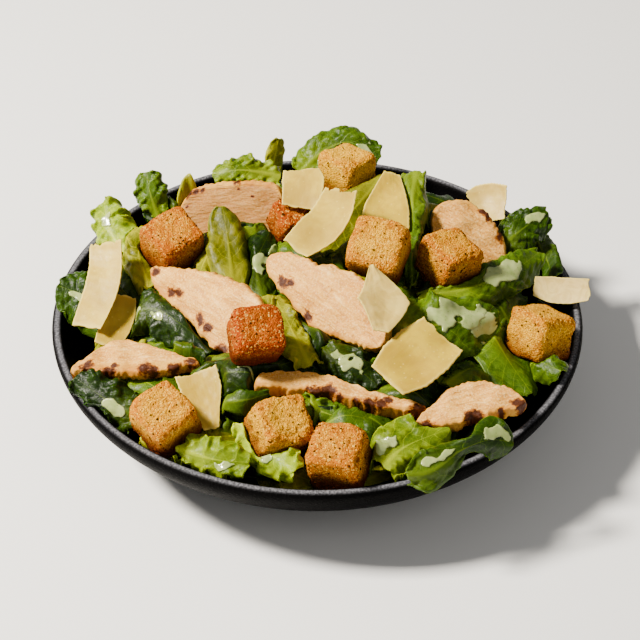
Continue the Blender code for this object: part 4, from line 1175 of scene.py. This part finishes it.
def scatter_tree(name):
    """A tree that scatters grains over a surface, and gives them alone."""
    tree = bpy.data.node_groups.new(name, "GeometryNodeTree")
    for key, kind in (("Geometry", "NodeSocketGeometry"), ("Density", "NodeSocketFloat"),
                      ("Seed", "NodeSocketInt"), ("Smallest", "NodeSocketFloat"),
                      ("Largest", "NodeSocketFloat"), ("Lift", "NodeSocketFloat"),
                      ("Finish", "NodeSocketMaterial")):
        tree.interface.new_socket(key, in_out="INPUT", socket_type=kind)
    tree.interface.new_socket("Geometry", in_out="OUTPUT", socket_type="NodeSocketGeometry")
    nodes = Nodes(tree)
    given = nodes.add("NodeGroupInput").outputs
    points = nodes.add("GeometryNodeDistributePointsOnFaces",
                       {"Mesh": given["Geometry"], "Density": given["Density"], "Seed": given["Seed"]})
    spin = nodes.add("FunctionNodeRandomValue", {"Seed": given["Seed"], 1: (math.tau, math.tau, math.tau)},
                     data_type="FLOAT_VECTOR")
    size = nodes.add("FunctionNodeRandomValue",
                     {"Seed": given["Seed"], 0: given["Smallest"], 1: given["Largest"]},
                     data_type="FLOAT_VECTOR")
    raised = nodes.add("ShaderNodeVectorMath", {0: points.outputs["Normal"], "Scale": given["Lift"]},
                       operation="SCALE")
    moved = nodes.add("GeometryNodeSetPosition",
                      {"Geometry": points.outputs["Points"], "Offset": raised.outputs[0]})
    grain = nodes.add("GeometryNodeMeshIcoSphere", {"Radius": 1.0, "Subdivisions": 1}).outputs["Mesh"]
    turn = nodes.add("FunctionNodeEulerToRotation", {"Euler": spin.outputs[0]})
    turned = nodes.add("FunctionNodeRotateRotation",
                       {"Rotation": points.outputs["Rotation"], "Rotate By": turn.outputs[0]},
                       rotation_space="LOCAL")
    placed = nodes.add("GeometryNodeInstanceOnPoints",
                       {"Points": moved.outputs[0], "Instance": grain, "Rotation": turned.outputs[0],
                        "Scale": size.outputs[0]})
    real = nodes.add("GeometryNodeRealizeInstances", {"Geometry": placed.outputs[0]})
    finished = nodes.add("GeometryNodeSetMaterial",
                         {"Geometry": real.outputs[0], "Material": given["Finish"]})
    nodes.add("NodeGroupOutput", {"Geometry": finished.outputs[0]})
    return tree


def scattered(name, surface, tree, **inputs):
    """The plain mesh that a scatter tree makes over a surface."""
    carrier = new_object(name, surface)
    modifier = carrier.modifiers.new("scatter", "NODES")
    modifier.node_group = tree
    for item in tree.interface.items_tree:
        key = item.name.lower()
        if item.item_type == "SOCKET" and item.in_out == "INPUT" and key in inputs:
            modifier[item.identifier] = inputs[key]
    bpy.context.view_layer.update()
    evaluated = carrier.evaluated_get(bpy.context.evaluated_depsgraph_get())
    mesh = bpy.data.meshes.new_from_object(evaluated)
    mesh.name = name
    bpy.data.objects.remove(carrier)
    return mesh


# Settings.

class BowlSettings(bpy.types.PropertyGroup):
    """The bowl's finish."""

    steps: IntProperty(name="Steps", description="Faces round the bowl", default=180, min=48)
    roughness: FloatProperty(name="Roughness", description="How matt the bowl is", default=0.48,
                             min=0, max=1, subtype="FACTOR")
    colour: FloatVectorProperty(name="Colour", description="The stoneware's black", subtype="COLOR",
                                default=(0.0014, 0.0013, 0.0014), min=0, max=1)
    # The colour of the painted highlight specks along the top of the rim.
    highlight_colour: FloatVectorProperty(name="Speck Colour", description="The rubbed specks on the rim",
                                      subtype="COLOR", default=(0.34, 0.34, 0.38), min=0, max=1)


class ToppingSettings(bpy.types.PropertyGroup):
    """How finely the toppings are made."""

    crouton_cuts: IntProperty(name="Crouton Cuts", description="Cuts along each edge of a crouton",
                              default=68, min=4)
    shaving_thickness: FloatProperty(name="Shaving Thickness", description="How thick a shaving is",
                                     default=0.9 * MM, unit="LENGTH")
    pepper_density: FloatProperty(name="Pepper Density", default=30000, min=0,
                                  description="Flecks for each square metre of crouton")
    pepper_size: FloatProperty(name="Pepper Size", description="Radius of the largest fleck",
                               default=0.62 * MM, unit="LENGTH")


class LeafSettings(bpy.types.PropertyGroup):
    """How the lettuce is made."""

    rows: IntProperty(name="Rows", description="Points along a large leaf", default=64, min=8)
    columns: IntProperty(name="Columns", description="Points across a large leaf", default=41, min=7)
    thickness: FloatProperty(name="Leaf Thickness", description="How thick a blade is",
                             default=0.55 * MM, unit="LENGTH")
    fold: FloatProperty(name="Fold", description="How far a blade folds up and down, in mm",
                        default=1.2, min=0)
    gap: FloatProperty(name="Gap", description="Room that a leaf keeps below what lies on it",
                       default=0.9 * MM, unit="LENGTH")
    bed_count: IntProperty(name="Bed Leaves", description="Torn leaves that fill the bowl",
                           default=110, min=0)


class StageSettings(bpy.types.PropertyGroup):
    """The floor, the lights and the camera."""

    elevation: FloatProperty(name="Elevation", description="The camera's angle over the table",
                             default=math.radians(39.5), subtype="ANGLE")
    distance: FloatProperty(name="Distance", description="From the camera to its target",
                            default=0.9, unit="LENGTH")
    lens: FloatProperty(name="Lens", description="Focal length in mm on a 36 mm sensor", default=122.4)
    floor_colour: FloatVectorProperty(name="Floor Colour", description="The pale floor", subtype="COLOR",
                                      default=(0.86, 0.86, 0.85), min=0, max=1)
    key_power: FloatProperty(name="Key Power", description="The main light, from the left", default=70,
                             unit="POWER")
    fill_power: FloatProperty(name="Fill Power", description="The soft light from the front", default=3,
                              unit="POWER")


SETTINGS = {"salad_bowl": BowlSettings, "salad_toppings": ToppingSettings,
            "salad_leaves": LeafSettings, "salad_stage": StageSettings}


# Operators.

class SALAD_OT_stage(bpy.types.Operator):
    """Makes the floor, the lights and the camera"""

    bl_idname = "salad.stage"
    bl_label = "Make Stage"

    def execute(self, context):
        settings = context.scene.salad_stage
        self.make_floor(settings)
        self.make_lights(settings)
        back = Vector((0, -math.cos(settings.elevation), math.sin(settings.elevation)))
        camera = new_object("camera", bpy.data.cameras.new("camera"))
        camera.data.lens = settings.lens
        camera.data.sensor_width = 36
        camera.location = CAMERA_TARGET + back * settings.distance
        camera.rotation_euler = (-back).to_track_quat("-Z", "Y").to_euler()
        context.scene.camera = camera
        return {"FINISHED"}

    def make_floor(self, settings):
        """A wide pale floor, with a faint grain."""
        shape = bmesh.new()
        bmesh.ops.create_grid(shape, x_segments=2, y_segments=2, size=3)
        mesh = filled(bpy.data.meshes.new("floor"), shape)
        material, nodes, shader = new_finish("Pale Floor")
        grain = nodes.noise(nodes.place(), 9, 3)
        darker = tuple(0.97 * value for value in settings.floor_colour)
        colour = nodes.mix(grain, tuple(settings.floor_colour), darker)
        nodes.put_all(shader, {"Base Color": colour, "Roughness": 0.9})
        mesh.materials.append(material)
        floor = new_object("floor", mesh)

    def make_lights(self, settings):
        """A warm key light from the left, a soft fill from the front and a pale sky."""
        for name, place, power, size, colour in (
                ("key", (-0.86, -0.06, 1.05), settings.key_power, 0.22, (1, 0.93, 0.82)),
                ("fill", (0.5, -0.9, 0.9), settings.fill_power, 1.0, (1, 0.97, 0.93))):
            lamp = bpy.data.lights.new(name, "AREA")
            lamp.energy = power
            lamp.size = size
            lamp.color = colour
            light = new_object(name, lamp)
            light.location = place
            light.rotation_euler = (Vector((0, 0, 0.04)) - light.location).to_track_quat("-Z", "Y").to_euler()
        world = bpy.data.worlds.new("pale")
        world.use_nodes = True
        world.node_tree.nodes["Background"].inputs["Color"].default_value = (1, 0.98, 0.95, 1)
        world.node_tree.nodes["Background"].inputs["Strength"].default_value = 0.24
        bpy.context.scene.world = world


class SALAD_OT_effects(bpy.types.Operator):
    """Makes the shader groups that the finishes share"""

    bl_idname = "salad.effects"
    bl_label = "Make Shared Effects"

    def execute(self, context):
        make_mottle_effect()
        make_leaf_effect()
        make_toast_effect()
        return {"FINISHED"}


class SALAD_OT_bowl(bpy.types.Operator):
    """Makes the bowl"""

    bl_idname = "salad.bowl"
    bl_label = "Make Bowl"

    def execute(self, context):
        mesh = make_bowl_mesh(context.scene.salad_bowl.steps)
        piece_of("bowl_black", mesh, bowl_finish(), "bowl", "bowl")
        return {"FINISHED"}


class SALAD_OT_croutons(bpy.types.Operator):
    """Makes the croutons and the pepper on them"""

    bl_idname = "salad.croutons"
    bl_label = "Make Croutons"

    def execute(self, context):
        settings = context.scene.salad_toppings
        surfaces = []
        for seed, (node, (place, turn, edge, toast, redness, craggy)) in enumerate(CROUTONS.items()):
            mesh = crouton_mesh(f"{node}_toasted", place, turn, edge * MM, craggy, seed,
                                settings.crouton_cuts)
            finish = crouton_finish(f"Toast {node[8:]}".replace("_", " "), toast, redness)
            piece_of(mesh.name, mesh, finish, "crouton", node)
            surfaces.append(mesh.copy())
        surface = joined("crouton_surfaces", surfaces)
        tree = scatter_tree("Scattered Grains")
        flecks = scattered("pepper_flecks", surface, tree, density=settings.pepper_density, seed=4,
                           smallest=0.3 * settings.pepper_size, largest=settings.pepper_size,
                           lift=0.05 * MM, finish=fleck_finish())
        piece_of("pepper_flecks", flecks, None, "crouton")
        return {"FINISHED"}


class SALAD_OT_chicken(bpy.types.Operator):
    """Makes the slices of grilled chicken"""

    bl_idname = "salad.chicken"
    bl_label = "Make Chicken"

    def execute(self, context):
        for seed, (node, (*shape, shade_and_browning)) in enumerate(CHICKEN.items()):
            mesh = chicken_mesh(f"{node}_slice", *shape, 10 * seed)
            finish = chicken_finish(node.replace("_", " ").title(), shade_and_browning)
            piece_of(mesh.name, mesh, finish, "chicken", node)
        return {"FINISHED"}


class SALAD_OT_shavings(bpy.types.Operator):
    """Makes the shavings of hard cheese"""

    bl_idname = "salad.shavings"
    bl_label = "Make Shavings"

    def execute(self, context):
        for seed, (node, (*shape, pallor)) in enumerate(SHAVINGS.items()):
            mesh = shaving_mesh(f"{node}_flake", *shape, context.scene.salad_toppings.shaving_thickness, seed)
            finish = shaving_finish(node.replace("_", " ").title(), pallor)
            piece_of(mesh.name, mesh, finish, "shaving", node)
        return {"FINISHED"}


class SALAD_OT_leaves(bpy.types.Operator):
    """Makes the large leaves, pressed under the toppings, and the dressing on them"""

    bl_idname = "salad.leaves"
    bl_label = "Make Leaves And Dressing"

    def execute(self, context):
        settings = context.scene.salad_leaves
        covered = Covered()
        covered.add(*CROUTONS, *CHICKEN, *SHAVINGS)
        pools = []
        for seed, (node, shape) in enumerate(LEAVES.items()):
            *form, tone, crinkle, rib = shape
            leaf = Leaf(*form, crinkle, settings.fold, seed, settings.rows, settings.columns)
            leaf.surface = covered.press(leaf.surface, settings.gap)
            leaf.finish_relief()
            for number, (under, *pool) in enumerate(POOLS):
                if under == node:
                    pools.append(leaf.pool("pool", *pool, number))
            mesh = leaf.mesh(f"{node}_blade", settings.thickness, rib)
            piece_of(mesh.name, mesh, leaf_finish(tone), "lettuce", node)
            covered.add(node)
        piece_of("creamy_dressing", joined("creamy_dressing", pools), dressing_finish(), "lettuce")
        return {"FINISHED"}


class SALAD_OT_bed(bpy.types.Operator):
    """Makes the bed of torn leaves that fills the bowl, over a core painted dark as shade"""

    bl_idname = "salad.bed"
    bl_label = "Make Bed Of Leaves"

    def execute(self, context):
        settings = context.scene.salad_leaves
        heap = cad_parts["lettuce_heap"].data
        tree = BVHTree.FromPolygons([point.co for point in heap.vertices],
                                    [face.vertices for face in heap.polygons])
        covered = Covered()
        covered.add(*CROUTONS, *CHICKEN, *SHAVINGS, *LEAVES)
        by_tone = {tone: [] for tone in TONES}
        laid = [(row[:6], *row[6:]) for row in BED_LEAVES] + list(bed_leaves(tree, settings.bed_count, 11))
        for seed, (shape, tone, crinkle, rib) in enumerate(laid):
            leaf = Leaf(*shape, crinkle, settings.fold, 100 + seed, *BED_GRID)
            leaf.surface = covered.press(leaf.surface, settings.gap, 0.8 * MM)
            leaf.finish_relief()
            by_tone[tone].append(leaf.mesh("torn", settings.thickness, rib))
        for tone, meshes in by_tone.items():
            if meshes:
                mesh = joined(f"torn_leaves_{tone}", meshes)
                piece_of(mesh.name, mesh, leaf_finish(tone), "lettuce_heap")
        self.make_core(heap)
        return {"FINISHED"}

    def make_core(self, heap):
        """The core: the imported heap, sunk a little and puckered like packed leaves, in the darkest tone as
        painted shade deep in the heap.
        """
        shape = shape_of(heap)
        bmesh.ops.remove_doubles(shape, verts=shape.verts, dist=0.01 * MM)
        bmesh.ops.subdivide_edges(shape, edges=shape.edges[:], cuts=2, use_grid_fill=True)
        mesh = filled(bpy.data.meshes.new("packed_leaves"), shape)
        points = points_of(mesh)
        outer = smooth_step(20 * MM, 34 * MM, points[:, 2])
        points[:, 2] -= outer * (3 * MM - 1.2 * MM * ripples(points, 14 * MM, 5))
        points[:, :2] *= 0.985
        move_points(mesh, points)
        flat = np.zeros(len(points))
        # Its relief is set low so the blade takes the shaded colour all over: painted shade.
        keep_values(mesh, {"share": flat + 0.7, "from_rib": flat + 9, "vein": points[:, 0] / (7 * MM),
                           "net": points[:, 1] / (5 * MM), "relief": flat - 0.3, "milk": flat, "edge": flat})
        mesh.shade_smooth()
        piece_of("packed_leaves", mesh, leaf_finish("dark"), "lettuce_heap", "lettuce_heap")


class SALAD_PT_panel(bpy.types.Panel):
    """The salad's operators and settings"""

    bl_idname = "SALAD_PT_panel"
    bl_label = "Chicken Caesar Salad"
    bl_space_type = "VIEW_3D"
    bl_region_type = "UI"
    bl_category = "Salad"

    def draw(self, context):
        for maker in OPERATORS:
            self.layout.operator(maker.bl_idname)
        for name in SETTINGS:
            settings = getattr(context.scene, name)
            box = self.layout.box()
            for key in settings.bl_rna.properties.keys():
                if key not in ("rna_type", "name"):
                    box.prop(settings, key)


OPERATORS = (SALAD_OT_stage, SALAD_OT_effects, SALAD_OT_bowl, SALAD_OT_croutons, SALAD_OT_chicken,
             SALAD_OT_shavings, SALAD_OT_leaves, SALAD_OT_bed)


def register():
    """Registers the settings, the operators and the panel."""
    for name, group in SETTINGS.items():
        bpy.utils.register_class(group)
        setattr(bpy.types.Scene, name, PointerProperty(type=group))
    for maker in (*OPERATORS, SALAD_PT_panel):
        bpy.utils.register_class(maker)


def unregister():
    """Takes everything that register added away again."""
    for maker in (SALAD_PT_panel, *reversed(OPERATORS)):
        bpy.utils.unregister_class(maker)
    for name, group in SETTINGS.items():
        delattr(bpy.types.Scene, name)
        bpy.utils.unregister_class(group)


def main():
    """Makes the salad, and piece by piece."""
    register()
    for maker in OPERATORS:
        group, name = maker.bl_idname.split(".")
        getattr(getattr(bpy.ops, group), name)()
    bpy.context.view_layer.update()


if __name__ == "__main__":
    main()
